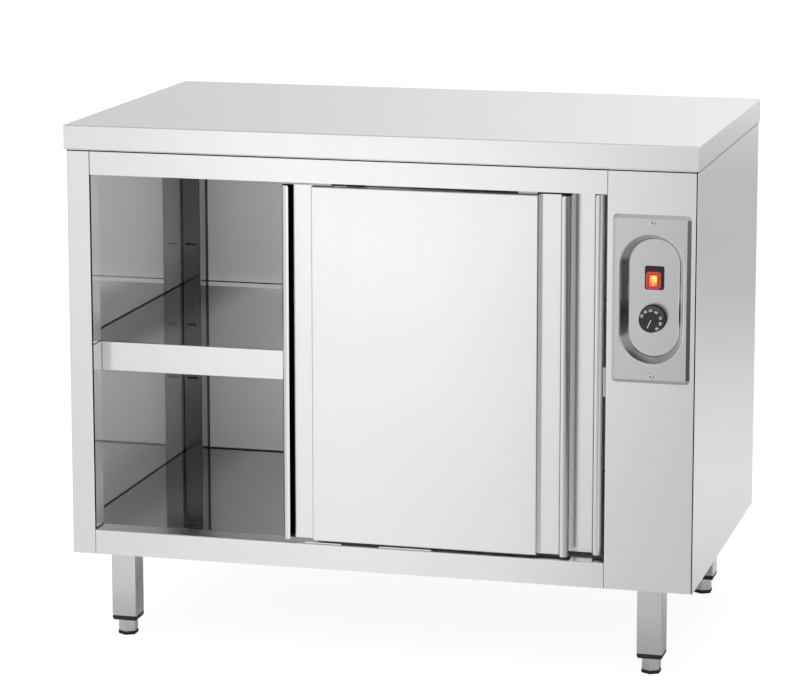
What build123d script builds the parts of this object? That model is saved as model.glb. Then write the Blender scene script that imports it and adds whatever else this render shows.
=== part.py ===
from build123d import *
import math
import os

# Heated plate cabinet with two sliding doors, one shelf and a control column.
# Millimetres. Origin on the floor under the centre of the worktop, +X to the right seen from
# the front, +Y to the back, +Z up. The doors and the control dish face -Y.

# ---------------------------------------------------------------------------------------------
# Driving dimensions
# ---------------------------------------------------------------------------------------------
WIDTH = 1000.0  # worktop, left to right
DEPTH = 600.0  # worktop, front to back
HEIGHT = 830.0  # floor to worktop, feet screwed in

SHEET = 1.2  # cabinet sheet
BEND = 1.6  # fold radius on the middle of the sheet
TOP_SHEET = 1.5  # worktop sheet
TOP_FOLD = 1.6  # rounding along the worktop's upper edges
APRON = 38.5  # height of the worktop's folded edge
APRON_RETURN = 14.0  # strip folded under at the foot of the apron
RETURN_FOLD = 2.6  # rounding at the foot of the apron
FRONT_OVERHANG = 7.0  # apron in front of the body
SIDE_OVERHANG = 1.8  # apron beside the body

BODY_BOTTOM = 143.0  # underside of the body above the floor
TOP_RAIL = 39.5  # visible height of the rail over the doors
BOTTOM_RAIL = 40.0  # visible height of the rail under the doors
STILE = 38.2  # visible width of the left front stile
REAR_POST = 34.0  # rear corner posts, from the chamber's side wall
REAR_POST_DEPTH = 37.0  # from the chamber's back wall
REAR_POST_GAP = 3.0  # open joint between a rear post and the side wall
COLUMN = 137.2  # visible width of the control column
REAR_FLANGE = 20.0  # side sheets turned in along the back
JAMB_LEG = 18.0  # last fold of the column, behind the partition's front edge
FOLD_ROOM = 1.5  # kept clear inside a fold by the sheet that seats there
FLANGE_GAP = 0.5  # open joint where a folded edge comes back to its own sheet
PAN_FLANGE = 17.0  # folded edge under the floor and above the ceiling

POST_SLOT = 20.0  # slots for the shelf rails: length
POST_SLOT_HEIGHT = 4.0
POST_SLOT_Z = 433.0  # middle slot
POST_SLOT_PITCH = 118.0  # vertical distance between slots
POST_SLOT_EDGE = 19.5  # slot centre from the visible edge of its post

SHELF_TOP = 480.0  # upper face of the shelf
SHELF_GAP = 1.0  # around the shelf
SHELF_LIP_RETURN = 12.0  # folded under at the front and the sides
SHELF_BACK_DROP = 15.0  # turned down along the back, between the corners
SHELF_HOLE = 4.0  # diameter
SHELF_HOLE_COLUMNS = 13
SHELF_HOLE_PITCH_X = 57.0
SHELF_HOLE_PITCH_Y = 46.0
SHELF_ROWS_INSET = 85.0  # middle of each pair of rows from the front or back edge

RAIL_LEDGE = 25.0  # width of the shelf rails
RAIL_SKIRT = 18.0  # their folded edge
RAIL_TAB = 7.0  # reach of their tabs through the post slots
RAIL_TAB_PLAY = 1.0  # beside the tab in its slot
RAIL_SHEET = 1.5

DOOR_OVERLAP = 107.0  # of the closed doors
DOOR_THICKNESS = 17.0
DOOR_SHEET = 1.0
DOOR_TOP_GAP = 5.0  # under the top rail
DOOR_BOTTOM_GAP = 5.0  # over the bottom rail
DOOR_PROUD = 1.0  # front door in front of the rails
DOOR_GAP = 7.0  # between the two doors
DOOR_BACK_GAP = 0.5  # rear door to the back of the jambs
DOOR_STOP_GAP = 9.0  # between a door against its stop and the jamb
DOOR_LIP = 12.5  # visible width of the handle fold
DOOR_LIP_RADIUS = 9.0  # outer rounding of the handle fold
DOOR_LIP_CORNER = 3.0  # rounded ends of its free edge
DOOR_STRIP = 49.0  # door edge to raised panel
PANEL_FOLD = 2.0  # outer rounding round the raised panel
FRONT_DOOR_OPEN = 301.0  # rest place of the front door, measured from its left stop

ROLLER_RADIUS = 10.0
ROLLER_WIDTH = 7.0
GROOVE_WIDTH = 4.0
GROOVE_DEPTH = 1.5
ROLLER_BORE = 5.1  # diameter
AXLE = 5.0  # diameter
ROLLING_GAP = 0.3  # between the roller's groove and the track rib
HANGER_CENTRE = 66.0  # from the door's edge
HANGER_WIDTH = 30.0
HANGER_SHEET = 1.5
HANGER_SETBACK = 4.0  # door face to hanger plate
HANGER_FOOT = 10.0  # foot of the hanger plate, on the door's top edge
AXLE_HEIGHT = 29.0  # above the door's top edge

TRACK_TOP = 2.0  # mounting plate
TRACK_WEB = 1.5
TRACK_LEDGE_THICKNESS = 2.0
TRACK_RIB_WIDTH = 3.0
TRACK_RIB_HEIGHT = 1.2
TRACK_SIDE_PLAY = 0.5  # hanger plate to roller, ledge to roller
STOP_LENGTH = 12.0
STOP_PLAY = 0.3  # roller to rubber stop at the end of travel

GUIDE_STRIP = 203.0
GUIDE_STRIP_SHEET = 1.5
GUIDE_INSET = 3.0  # strip to the front and back folds of the bottom rail
GUIDE_STRIP_SHIFT = 36.5  # centre of the strip to the right of the opening's
GUIDE_BLOCK = 60.0
GUIDE_BLOCK_EDGE = 6.0  # its left end to its pins
GUIDE_BLOCK_HEIGHT = 2.8  # over the strip
GUIDE_CHEEK = 1.5  # its cheeks, clipped over the strip's front and back edges
GUIDE_PIN = 6.0  # diameter
GUIDE_PIN_HEIGHT = 14.0
GUIDE_PLAY = 0.5  # pin to door slot

PLATE_WIDTH = 119.5  # control plate
PLATE_HEIGHT = 257.0
PLATE_PROUD = 4.0  # in front of the column
PLATE_BEVEL_ANGLE = 54.0  # slope of its sides, from square to the column
PLATE_CORNER = 7.0
PLATE_OFFSET = 68.5  # centre of the plate from the body's right side
PLATE_DROP = 196.0  # and from the top of the body
DISH_WIDTH = 94.0  # stadium-shaped dish, at its mouth
DISH_HEIGHT = 195.5
DISH_DEPTH = 22.0
DISH_TAPER = 19.0  # wall slope in degrees
DISH_SHIFT = 0.8  # centre of the dish to the right of the plate's
DISH_RIM = 3.5  # rounding of its mouth
DISH_FLOOR_RADIUS = 3.0
DISH_CLEARANCE = 1.0  # column cut-out round the dish
PLATE_SCREW_PITCH = 235.0
PLATE_SCREW = 4.0
PLATE_SCREW_HEAD = 10.0
PLATE_SCREW_HEAD_HEIGHT = 2.2
PLATE_SCREW_HEAD_ROUND = 1.6
PLATE_SCREW_LENGTH = 8.0

SWITCH_SHIFT = 0.6  # centre of the switch to the right of the dish's
SWITCH_RISE = 30.0  # and above it
BEZEL_WIDTH = 29.3
BEZEL_HEIGHT = 36.0
BEZEL_THICKNESS = 3.0
BEZEL_CORNER = 3.0
BEZEL_EDGE = 1.2  # chamfer round its face
SWITCH_BODY_WIDTH = 25.8
SWITCH_BODY_HEIGHT = 31.0
SWITCH_BODY_DEPTH = 24.0
ROCKER_WIDTH = 19.0
ROCKER_HEIGHT = 21.0
ROCKER_CROWN = 9.0  # crown of the rocker in front of its pivot
ROCKER_SHOULDER = 3.0  # its ends in front of the pivot
ROCKER_FOOT = 4.0  # its ends behind the pivot
ROCKER_ROUND = 6.0  # rounding of the crown
ROCKER_TILT = 10.0  # degrees from level to either end
ROCKER_PLAY = 0.5  # beside the rocker
ROCKER_END_PLAY = 1.0  # above and below it
ROCKER_ROOM = 8.3  # pocket behind the dish floor

KNOB_SHIFT = 0.6  # centre of the knob to the left of the dish's
KNOB_DROP = 31.5  # and below it
KNOB_DIAMETER = 39.0
KNOB_SKIRT = 42.0
KNOB_HEIGHT = 21.0
KNOB_SKIRT_HEIGHT = 3.0
KNOB_TAPER = 2.0  # degrees
KNOB_GAP = 0.8  # over the dish floor
KNOB_BORE = 10.5  # reach of the spindle in the knob
KNOB_EDGE = 1.2  # rounding of its face
SHAFT = 6.0  # thermostat spindle, diameter
SHAFT_PLAY = 0.05
SHAFT_SEAT = 15.0  # reach of the spindle in the thermostat
BUSHING = 10.0
THERMOSTAT = 42.0  # square housing
THERMOSTAT_CORNER = 5.0
THERMOSTAT_DEPTH = 30.0

LEG = 40.0  # square tube
LEG_WALL = 1.5
LEG_CORNER = 2.0
LEG_INSET_X = 73.0  # centre of a leg from the worktop's side
LEG_INSET_Y = 62.0  # and from its front or back
LEG_BOTTOM = 33.5
LEG_TOP_PLATE = 4.0
CAP_RIM = 5.2
CAP_STEP = 2.3
CAP_STEP_INSET = 1.2
CAP_SPIGOT = 22.0
FOOT_HEX = 27.0  # across flats
FOOT_TURN = 30.0  # a corner of the hexagon to the front
FOOT_PAD = 6.0
FOOT_PAD_GROW = 0.6
FOOT_PAD_EDGE = 1.2  # chamfer at its underside
FOOT_STUD = 10.0
FOOT_STUD_TOP = 78.0
STUD_PLAY = 0.05
LEG_PLATE = 50.0
LEG_PLATE_SHEET = 3.0
LEG_BOLT = 8.0
LEG_BOLT_HEAD = 13.0
LEG_BOLT_HEAD_HEIGHT = 5.3
LEG_BOLT_LENGTH = 12.0
BOLT_PLAY = 0.1

FAN_Y = 30.0
FAN_Z = 330.0
FAN_HOUSING = 150.0
FAN_HOUSING_DEPTH = 46.0
FAN_WHEEL = 96.0
FAN_WHEEL_WIDTH = 26.0
FAN_HUB = 12.0  # diameter
FAN_BLADES = 8
FAN_BLADE = 24.0  # length
FAN_BLADE_RADIUS = 32.0  # fan axis to the middle of a blade
FAN_BLADE_ANGLE = 25.0
FAN_SHEET = 1.0
HEATER_RADIUS = 60.0
HEATER_TUBE = 8.0
HEATER_ARC = 330.0
MOTOR_SIZE = 62.0
MOTOR_DEPTH = 34.0
MOTOR_CORNER = 5.0
MOTOR_SHAFT = 6.0
MOTOR_BORE = 17.0
MOTOR_SHAFT_GAP = 0.8  # at the blind end of the bore
GRILLE_HOLE = 9.0
GRILLE_RINGS = 2
GRILLE_RING_HOLES = 6  # in the first ring, and as many more in the next
GRILLE_RING_PITCH = 14.0
OUTLET_SLOTS = 8
OUTLET_SLOT = 30.0

GLAND_INSET = 43.2  # from the body's right side
GLAND_Y = 130.0
GLAND_BORE = 10.0
GLAND_THREAD = 20.0
GLAND_THREAD_LENGTH = 10.0
GLAND_HEX = 24.0
GLAND_HEX_HEIGHT = 7.0
GLAND_CONE = 22.4  # diameter under the hexagon
GLAND_CONE_HEIGHT = 13.0
GLAND_CONE_TAPER = 12.0  # degrees
GLAND_NUT_HEX = 26.4
GLAND_NUT_HEIGHT = 5.0

TERMINALS = 3
TERMINAL_PITCH = 20.0
TERMINAL_WIDTH = 20.0
TERMINAL_HEIGHT = 20.0
TERMINAL_WELL = 5.0  # screw wells, diameter and depth
TERMINAL_WELL_ROWS = 10.0  # between the two rows of wells
TERMINAL_SETBACK = 60.0  # in front of the gland

VENT_SLOTS = 5
VENT_SLOT = 60.0
VENT_SLOT_HEIGHT = 5.0
VENT_PITCH = 14.0
VENT_LOW_Z = 230.0
VENT_HIGH_Z = 650.0

# ---------------------------------------------------------------------------------------------
# Places worked out from them
# ---------------------------------------------------------------------------------------------
HALF = SHEET / 2
DOOR_PITCH = DOOR_THICKNESS + DOOR_GAP
STILE_DEPTH = DOOR_PITCH + DOOR_THICKNESS - DOOR_PROUD + DOOR_BACK_GAP
BODY_TOP = HEIGHT - APRON
FRONT = -DEPTH / 2 + FRONT_OVERHANG
BACK = DEPTH / 2
SIDE = WIDTH / 2 - SIDE_OVERHANG
OPENING_LEFT = -SIDE + STILE
OPENING_RIGHT = SIDE - COLUMN
OPENING_CENTRE = (OPENING_LEFT + OPENING_RIGHT) / 2
OPENING_WIDTH = OPENING_RIGHT - OPENING_LEFT
OPENING_BOTTOM = BODY_BOTTOM + BOTTOM_RAIL
OPENING_TOP = BODY_TOP - TOP_RAIL
WALL_LEFT = -SIDE + SHEET
PARTITION = 2 * OPENING_CENTRE - WALL_LEFT
CHAMBER_FRONT = FRONT + STILE_DEPTH
CHAMBER_BACK = BACK - 2 * SHEET
CHAMBER_WIDTH = PARTITION - WALL_LEFT
REAR_POST_FACE = CHAMBER_BACK - REAR_POST_DEPTH
CEILING_FLANGE_BOTTOM = BODY_TOP - PAN_FLANGE

DOOR_BOTTOM = OPENING_BOTTOM + DOOR_BOTTOM_GAP
DOOR_TOP = OPENING_TOP - DOOR_TOP_GAP
DOOR_FACES = {"front": FRONT - DOOR_PROUD, "rear": FRONT - DOOR_PROUD + DOOR_PITCH}
DOOR_WIDTH = (OPENING_WIDTH + DOOR_OVERLAP) / 2 - DOOR_STOP_GAP
DOOR_LEFT_STOP = OPENING_LEFT + DOOR_STOP_GAP
DOOR_RIGHT_STOP = OPENING_RIGHT - DOOR_STOP_GAP - DOOR_WIDTH
DOOR_LEFTS = {"front": DOOR_LEFT_STOP + FRONT_DOOR_OPEN, "rear": DOOR_RIGHT_STOP}
AXLE_Z = DOOR_TOP + AXLE_HEIGHT
RIB_TOP = AXLE_Z - (ROLLER_RADIUS - GROOVE_DEPTH) - ROLLING_GAP
TRACK_Z = BODY_TOP - SHEET

LEG_X = WIDTH / 2 - LEG_INSET_X
LEG_Y = DEPTH / 2 - LEG_INSET_Y
GLAND_X = SIDE - GLAND_INSET

PLATE_X = SIDE - PLATE_OFFSET
PLATE_Z = BODY_TOP - PLATE_DROP
DISH_X = PLATE_X + DISH_SHIFT
SWITCH_X = DISH_X + SWITCH_SHIFT
SWITCH_Z = PLATE_Z + SWITCH_RISE
KNOB_X = DISH_X - KNOB_SHIFT
KNOB_Z = PLATE_Z - KNOB_DROP
PLATE_FACE = FRONT - PLATE_PROUD
DISH_FLOOR = PLATE_FACE + DISH_DEPTH
DISH_BACK = DISH_FLOOR + SHEET
SIDES = {"left": -1, "right": 1}
ENDS = {"front": -1, "rear": 1}


def level(z):
    """Horizontal plane at height z, facing up."""
    return Plane.XY.offset(z)


def facing_front(y):
    """Upright plane at depth y, facing the front: extruding from it goes towards -Y."""
    return Plane.XZ.offset(-y)


def facing_right(x):
    """Upright plane at x, facing right, with Y across and Z up."""
    return Plane.YZ.offset(x)


def folded_strip(plane, points, length, thickness=SHEET, radius=BEND):
    """Adds a folded sheet: the middle line of its section, bent at each corner, run out."""
    with BuildSketch(plane) as section:
        with BuildLine():
            FilletPolyline(*points, radius=radius)
        trace(line_width=thickness)
    extrude(section.sketch, amount=length)


def mirrored_x(x):
    """The same place on the other side of the opening's centre."""
    return 2 * OPENING_CENTRE - x


def slot_heights():
    """Heights of the three shelf-rail slots in each post."""
    return [POST_SLOT_Z + step * POST_SLOT_PITCH for step in (-1, 0, 1)]


def cut_post_slots(centre_x, y):
    """Cuts the shelf-rail slots through the sheet whose rear face lies at depth y."""
    with BuildSketch(facing_front(y)) as slots:
        with Locations(*[(centre_x, z) for z in slot_heights()]):
            SlotOverall(POST_SLOT, POST_SLOT_HEIGHT)
    extrude(slots.sketch, amount=2 * SHEET, both=True, mode=Mode.SUBTRACT)


os.makedirs("parts", exist_ok=True)

# ---------------------------------------------------------------------------------------------
# Worktop: folded pan with its edges returned underneath, lined with a sound-deadening board
# ---------------------------------------------------------------------------------------------
with BuildPart() as worktop:
    with BuildSketch(level(BODY_TOP)):
        Rectangle(WIDTH, DEPTH)
    extrude(amount=APRON)
    fillet(worktop.faces().sort_by(Axis.Z)[-1].edges(), TOP_FOLD)
    fillet(worktop.faces().sort_by(Axis.Z)[0].edges(), RETURN_FOLD)
    with BuildSketch(level(BODY_TOP + TOP_SHEET)):
        Rectangle(WIDTH - 2 * TOP_SHEET, DEPTH - 2 * TOP_SHEET)
    extrude(amount=APRON - 2 * TOP_SHEET, mode=Mode.SUBTRACT)
    with BuildSketch(level(BODY_TOP)):
        Rectangle(WIDTH - 2 * APRON_RETURN, DEPTH - 2 * APRON_RETURN)
    extrude(amount=TOP_SHEET, mode=Mode.SUBTRACT)
worktop.part.label = "worktop"
export_step(worktop.part, "parts/worktop.step")

with BuildPart() as worktop_core:
    with BuildSketch(level(BODY_TOP + TOP_SHEET)):
        Rectangle(WIDTH - 2 * TOP_SHEET, DEPTH - 2 * TOP_SHEET)
    extrude(amount=APRON - 2 * TOP_SHEET)
worktop_core.part.label = "worktop_core"
export_step(worktop_core.part, "parts/worktop_core.step")

# ---------------------------------------------------------------------------------------------
# Side sheets: each is one folded sheet that also makes the front stile or the control column
# ---------------------------------------------------------------------------------------------
BODY_HEIGHT = BODY_TOP - BODY_BOTTOM
FOLD_BACK_Y = CHAMBER_FRONT - HALF
LEFT_PATH = [
    (-SIDE + REAR_FLANGE, BACK - HALF),
    (-SIDE + HALF, BACK - HALF),
    (-SIDE + HALF, FRONT + HALF),
    (OPENING_LEFT - HALF, FRONT + HALF),
    (OPENING_LEFT - HALF, FOLD_BACK_Y),
    (WALL_LEFT + FLANGE_GAP, FOLD_BACK_Y),
]
RIGHT_PATH = [
    (SIDE - REAR_FLANGE, BACK - HALF),
    (SIDE - HALF, BACK - HALF),
    (SIDE - HALF, FRONT + HALF),
    (OPENING_RIGHT + HALF, FRONT + HALF),
    (OPENING_RIGHT + HALF, FOLD_BACK_Y),
    (PARTITION + SHEET + HALF, FOLD_BACK_Y),
    (PARTITION + SHEET + HALF, FOLD_BACK_Y + JAMB_LEG),
]
LEFT_SLOT_X = OPENING_LEFT - POST_SLOT_EDGE
RIGHT_SLOT_X = mirrored_x(LEFT_SLOT_X)


def clear_base_plate():
    """Shortens the inner folds of a side sheet so that they stand on the base panel."""
    with BuildSketch(level(BODY_BOTTOM)) as footprint:
        with Locations((0, (FRONT + CHAMBER_BACK + SHEET) / 2)):
            Rectangle(2 * (SIDE - SHEET), CHAMBER_BACK - FRONT - SHEET)
    extrude(footprint.sketch, amount=SHEET, mode=Mode.SUBTRACT)


with BuildPart() as left_side_panel:
    folded_strip(level(BODY_BOTTOM), LEFT_PATH, BODY_HEIGHT)
    clear_base_plate()
    cut_post_slots(LEFT_SLOT_X, CHAMBER_FRONT)
left_side_panel.part.label = "left_side_panel"
export_step(left_side_panel.part, "parts/left_side_panel.step")

with BuildPart() as right_side_panel:
    folded_strip(level(BODY_BOTTOM), RIGHT_PATH, BODY_HEIGHT)
    clear_base_plate()
    cut_post_slots(RIGHT_SLOT_X, CHAMBER_FRONT)
    with BuildSketch(facing_front(FRONT)):
        with Locations((DISH_X, PLATE_Z)):
            SlotOverall(DISH_HEIGHT + 2 * DISH_CLEARANCE, DISH_WIDTH + 2 * DISH_CLEARANCE, rotation=90)
        with Locations((DISH_X, PLATE_Z)):
            with GridLocations(0, PLATE_SCREW_PITCH, 1, 2):
                Circle(PLATE_SCREW / 2 + BOLT_PLAY)
    extrude(amount=-SHEET, mode=Mode.SUBTRACT)
right_side_panel.part.label = "right_side_panel"
export_step(right_side_panel.part, "parts/right_side_panel.step")

# ---------------------------------------------------------------------------------------------
# Back, base, rails, floor and ceiling
# ---------------------------------------------------------------------------------------------
VENT_X = (PARTITION + SIDE) / 2

with BuildPart() as back_panel:
    with BuildSketch(facing_front(CHAMBER_BACK + SHEET)):
        with Locations((0, (BODY_BOTTOM + BODY_TOP) / 2)):
            Rectangle(2 * (SIDE - SHEET - FOLD_ROOM), BODY_HEIGHT)
        for vent_z in (VENT_LOW_Z, VENT_HIGH_Z):
            with Locations((VENT_X, vent_z)):
                with GridLocations(0, VENT_PITCH, 1, VENT_SLOTS):
                    SlotOverall(VENT_SLOT, VENT_SLOT_HEIGHT, mode=Mode.SUBTRACT)
    extrude(amount=SHEET)
back_panel.part.label = "back_panel"
export_step(back_panel.part, "parts/back_panel.step")

LEG_PLACES = {
    f"{end}_{side}": (SIDES[side] * LEG_X, ENDS[end] * LEG_Y) for end in ENDS for side in SIDES
}

with BuildPart() as base_panel:
    with BuildSketch(level(BODY_BOTTOM)):
        with Locations((0, (FRONT + SHEET + CHAMBER_BACK) / 2)):
            Rectangle(2 * (SIDE - SHEET), CHAMBER_BACK - FRONT - SHEET)
        with Locations(*LEG_PLACES.values()):
            Circle(LEG_BOLT / 2 + BOLT_PLAY, mode=Mode.SUBTRACT)
        with Locations((GLAND_X, GLAND_Y)):
            Circle(GLAND_THREAD / 2 + BOLT_PLAY, mode=Mode.SUBTRACT)
    extrude(amount=SHEET)
base_panel.part.label = "base_panel"
export_step(base_panel.part, "parts/base_panel.step")

with BuildPart() as top_rail:
    folded_strip(
        facing_right(OPENING_LEFT),
        [(CHAMBER_FRONT, BODY_TOP - HALF), (FRONT + HALF, BODY_TOP - HALF), (FRONT + HALF, OPENING_TOP)],
        OPENING_WIDTH,
    )
top_rail.part.label = "top_rail"
export_step(top_rail.part, "parts/top_rail.step")

with BuildPart() as bottom_rail:
    folded_strip(
        facing_right(OPENING_LEFT),
        [
            (FRONT + HALF, BODY_BOTTOM),
            (FRONT + HALF, OPENING_BOTTOM - HALF),
            (FOLD_BACK_Y, OPENING_BOTTOM - HALF),
            (FOLD_BACK_Y, OPENING_BOTTOM - PAN_FLANGE),
        ],
        OPENING_WIDTH,
    )
bottom_rail.part.label = "bottom_rail"
export_step(bottom_rail.part, "parts/bottom_rail.step")


def chamber_pan(z):
    """Adds the chamber's flat sheet, its upper face at z, with a flange down on all sides."""
    centre = ((WALL_LEFT + PARTITION) / 2, (CHAMBER_FRONT + CHAMBER_BACK) / 2)
    depth = CHAMBER_BACK - CHAMBER_FRONT
    with BuildSketch(level(z - PAN_FLANGE)) as outline:
        with Locations(centre):
            Rectangle(CHAMBER_WIDTH, depth)
    extrude(outline.sketch, amount=PAN_FLANGE)
    with BuildSketch(level(z - PAN_FLANGE)) as hollow:
        with Locations(centre):
            Rectangle(CHAMBER_WIDTH - 2 * SHEET, depth - 2 * SHEET)
    extrude(hollow.sketch, amount=PAN_FLANGE - SHEET, mode=Mode.SUBTRACT)


with BuildPart() as cabinet_floor:
    chamber_pan(OPENING_BOTTOM)
cabinet_floor.part.label = "cabinet_floor"
export_step(cabinet_floor.part, "parts/cabinet_floor.step")

with BuildPart() as inner_ceiling:
    chamber_pan(BODY_TOP)
inner_ceiling.part.label = "inner_ceiling"
export_step(inner_ceiling.part, "parts/inner_ceiling.step")

with BuildPart() as partition:
    with BuildSketch(facing_right(PARTITION)):
        with Locations((CHAMBER_BACK, BODY_BOTTOM + SHEET)):
            Rectangle(
                CHAMBER_BACK - CHAMBER_FRONT - FOLD_ROOM,
                BODY_HEIGHT - SHEET,
                align=(Align.MAX, Align.MIN),
            )
        with Locations((FAN_Y, FAN_Z)):
            Circle(GRILLE_HOLE / 2, mode=Mode.SUBTRACT)
            for ring in range(1, GRILLE_RINGS + 1):
                with PolarLocations(ring * GRILLE_RING_PITCH, ring * GRILLE_RING_HOLES):
                    Circle(GRILLE_HOLE / 2, mode=Mode.SUBTRACT)
            with PolarLocations(HEATER_RADIUS, OUTLET_SLOTS, start_angle=180 / OUTLET_SLOTS):
                SlotOverall(OUTLET_SLOT, GRILLE_HOLE, rotation=90, mode=Mode.SUBTRACT)
    extrude(amount=SHEET)
partition.part.label = "partition"
export_step(partition.part, "parts/partition.step")

# Rear corner posts: folded angles with the same slots as the front posts, standing just off
# the side wall and fixed to the back
for side, sign in SIDES.items():
    wall = WALL_LEFT if side == "left" else PARTITION
    inner_edge = wall - sign * REAR_POST
    slot_x = LEFT_SLOT_X if side == "left" else RIGHT_SLOT_X
    with BuildPart() as rear_post:
        folded_strip(
            level(OPENING_BOTTOM),
            [
                (wall - sign * REAR_POST_GAP, REAR_POST_FACE + HALF),
                (inner_edge + sign * HALF, REAR_POST_FACE + HALF),
                (inner_edge + sign * HALF, CHAMBER_BACK),
            ],
            CEILING_FLANGE_BOTTOM - OPENING_BOTTOM,
        )
        cut_post_slots(slot_x, REAR_POST_FACE)
    rear_post.part.label = f"rear_{side}_post"
    export_step(rear_post.part, f"parts/rear_{side}_post.step")

# ---------------------------------------------------------------------------------------------
# Shelf and the two rails it rests on
# ---------------------------------------------------------------------------------------------
LEDGE_BOTTOM = POST_SLOT_Z - POST_SLOT_HEIGHT / 2
LEDGE_TOP = LEDGE_BOTTOM + RAIL_SHEET

for side, sign in SIDES.items():
    slot_x = LEFT_SLOT_X if side == "left" else RIGHT_SLOT_X
    with BuildPart() as shelf_rail:
        folded_strip(
            facing_front(REAR_POST_FACE),
            [
                (slot_x - sign * RAIL_LEDGE / 2, LEDGE_TOP - RAIL_SHEET / 2),
                (slot_x + sign * (RAIL_LEDGE - RAIL_SHEET) / 2, LEDGE_TOP - RAIL_SHEET / 2),
                (slot_x + sign * (RAIL_LEDGE - RAIL_SHEET) / 2, LEDGE_TOP - RAIL_SKIRT),
            ],
            REAR_POST_FACE - CHAMBER_FRONT,
            thickness=RAIL_SHEET,
        )
        with BuildSketch(level(LEDGE_BOTTOM)):
            with Locations((slot_x, (REAR_POST_FACE + CHAMBER_FRONT) / 2)):
                Rectangle(
                    POST_SLOT - POST_SLOT_HEIGHT - 2 * RAIL_TAB_PLAY,
                    REAR_POST_FACE - CHAMBER_FRONT + 2 * RAIL_TAB,
                )
        extrude(amount=RAIL_SHEET)
    shelf_rail.part.label = f"{side}_shelf_rail"
    export_step(shelf_rail.part, f"parts/{side}_shelf_rail.step")

SHELF_WIDTH = CHAMBER_WIDTH - 2 * SHELF_GAP
SHELF_FRONT = CHAMBER_FRONT + SHELF_GAP
SHELF_BACK = REAR_POST_FACE - SHELF_GAP
SHELF_DEPTH = SHELF_BACK - SHELF_FRONT
SHELF_CENTRE = (OPENING_CENTRE, (SHELF_FRONT + SHELF_BACK) / 2)
SHELF_HEIGHT = SHELF_TOP - LEDGE_TOP

with BuildPart() as shelf:
    with BuildSketch(level(LEDGE_TOP)):
        with Locations(SHELF_CENTRE):
            Rectangle(SHELF_WIDTH, SHELF_DEPTH)
    extrude(amount=SHELF_HEIGHT)
    fillet(shelf.faces().sort_by(Axis.Y)[0].edges().filter_by(Axis.X), BEND)
    with BuildSketch(level(LEDGE_TOP + SHEET)):
        with Locations(SHELF_CENTRE):
            Rectangle(SHELF_WIDTH - 2 * SHEET, SHELF_DEPTH - 2 * SHEET)
    extrude(amount=SHELF_HEIGHT - 2 * SHEET, mode=Mode.SUBTRACT)
    with BuildSketch(level(LEDGE_TOP)):
        with Locations(SHELF_CENTRE):
            Rectangle(SHELF_WIDTH - 2 * SHELF_LIP_RETURN, SHELF_DEPTH - 2 * SHELF_LIP_RETURN)
    extrude(amount=SHEET, mode=Mode.SUBTRACT)
    with BuildSketch(level(LEDGE_TOP)):
        with Locations((OPENING_CENTRE, SHELF_BACK)):
            Rectangle(
                SHELF_WIDTH - 2 * SHELF_LIP_RETURN, SHELF_LIP_RETURN, align=(Align.CENTER, Align.MAX)
            )
    extrude(amount=SHELF_HEIGHT - SHELF_BACK_DROP, mode=Mode.SUBTRACT)
    with BuildSketch(level(SHELF_TOP)):
        for rows_y in (SHELF_FRONT + SHELF_ROWS_INSET, SHELF_BACK - SHELF_ROWS_INSET):
            with Locations((OPENING_CENTRE, rows_y)):
                with GridLocations(SHELF_HOLE_PITCH_X, SHELF_HOLE_PITCH_Y, SHELF_HOLE_COLUMNS, 2):
                    Circle(SHELF_HOLE / 2)
    extrude(amount=-SHEET, mode=Mode.SUBTRACT)
shelf.part.label = "shelf"
export_step(shelf.part, "parts/shelf.step")

# ---------------------------------------------------------------------------------------------
# Sliding doors: a back sheet folded forward into a handle lip at each edge, with a raised
# box panel on it, hung from two grooved rollers
# ---------------------------------------------------------------------------------------------
DOOR_HEIGHT = DOOR_TOP - DOOR_BOTTOM
LIP_BEND = DOOR_LIP_RADIUS - DOOR_SHEET / 2
BACK_BEND = DOOR_SHEET
GUIDE_SLOT = GUIDE_PIN + 2 * GUIDE_PLAY
PANEL_DEPTH = DOOR_THICKNESS - DOOR_SHEET

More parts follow.
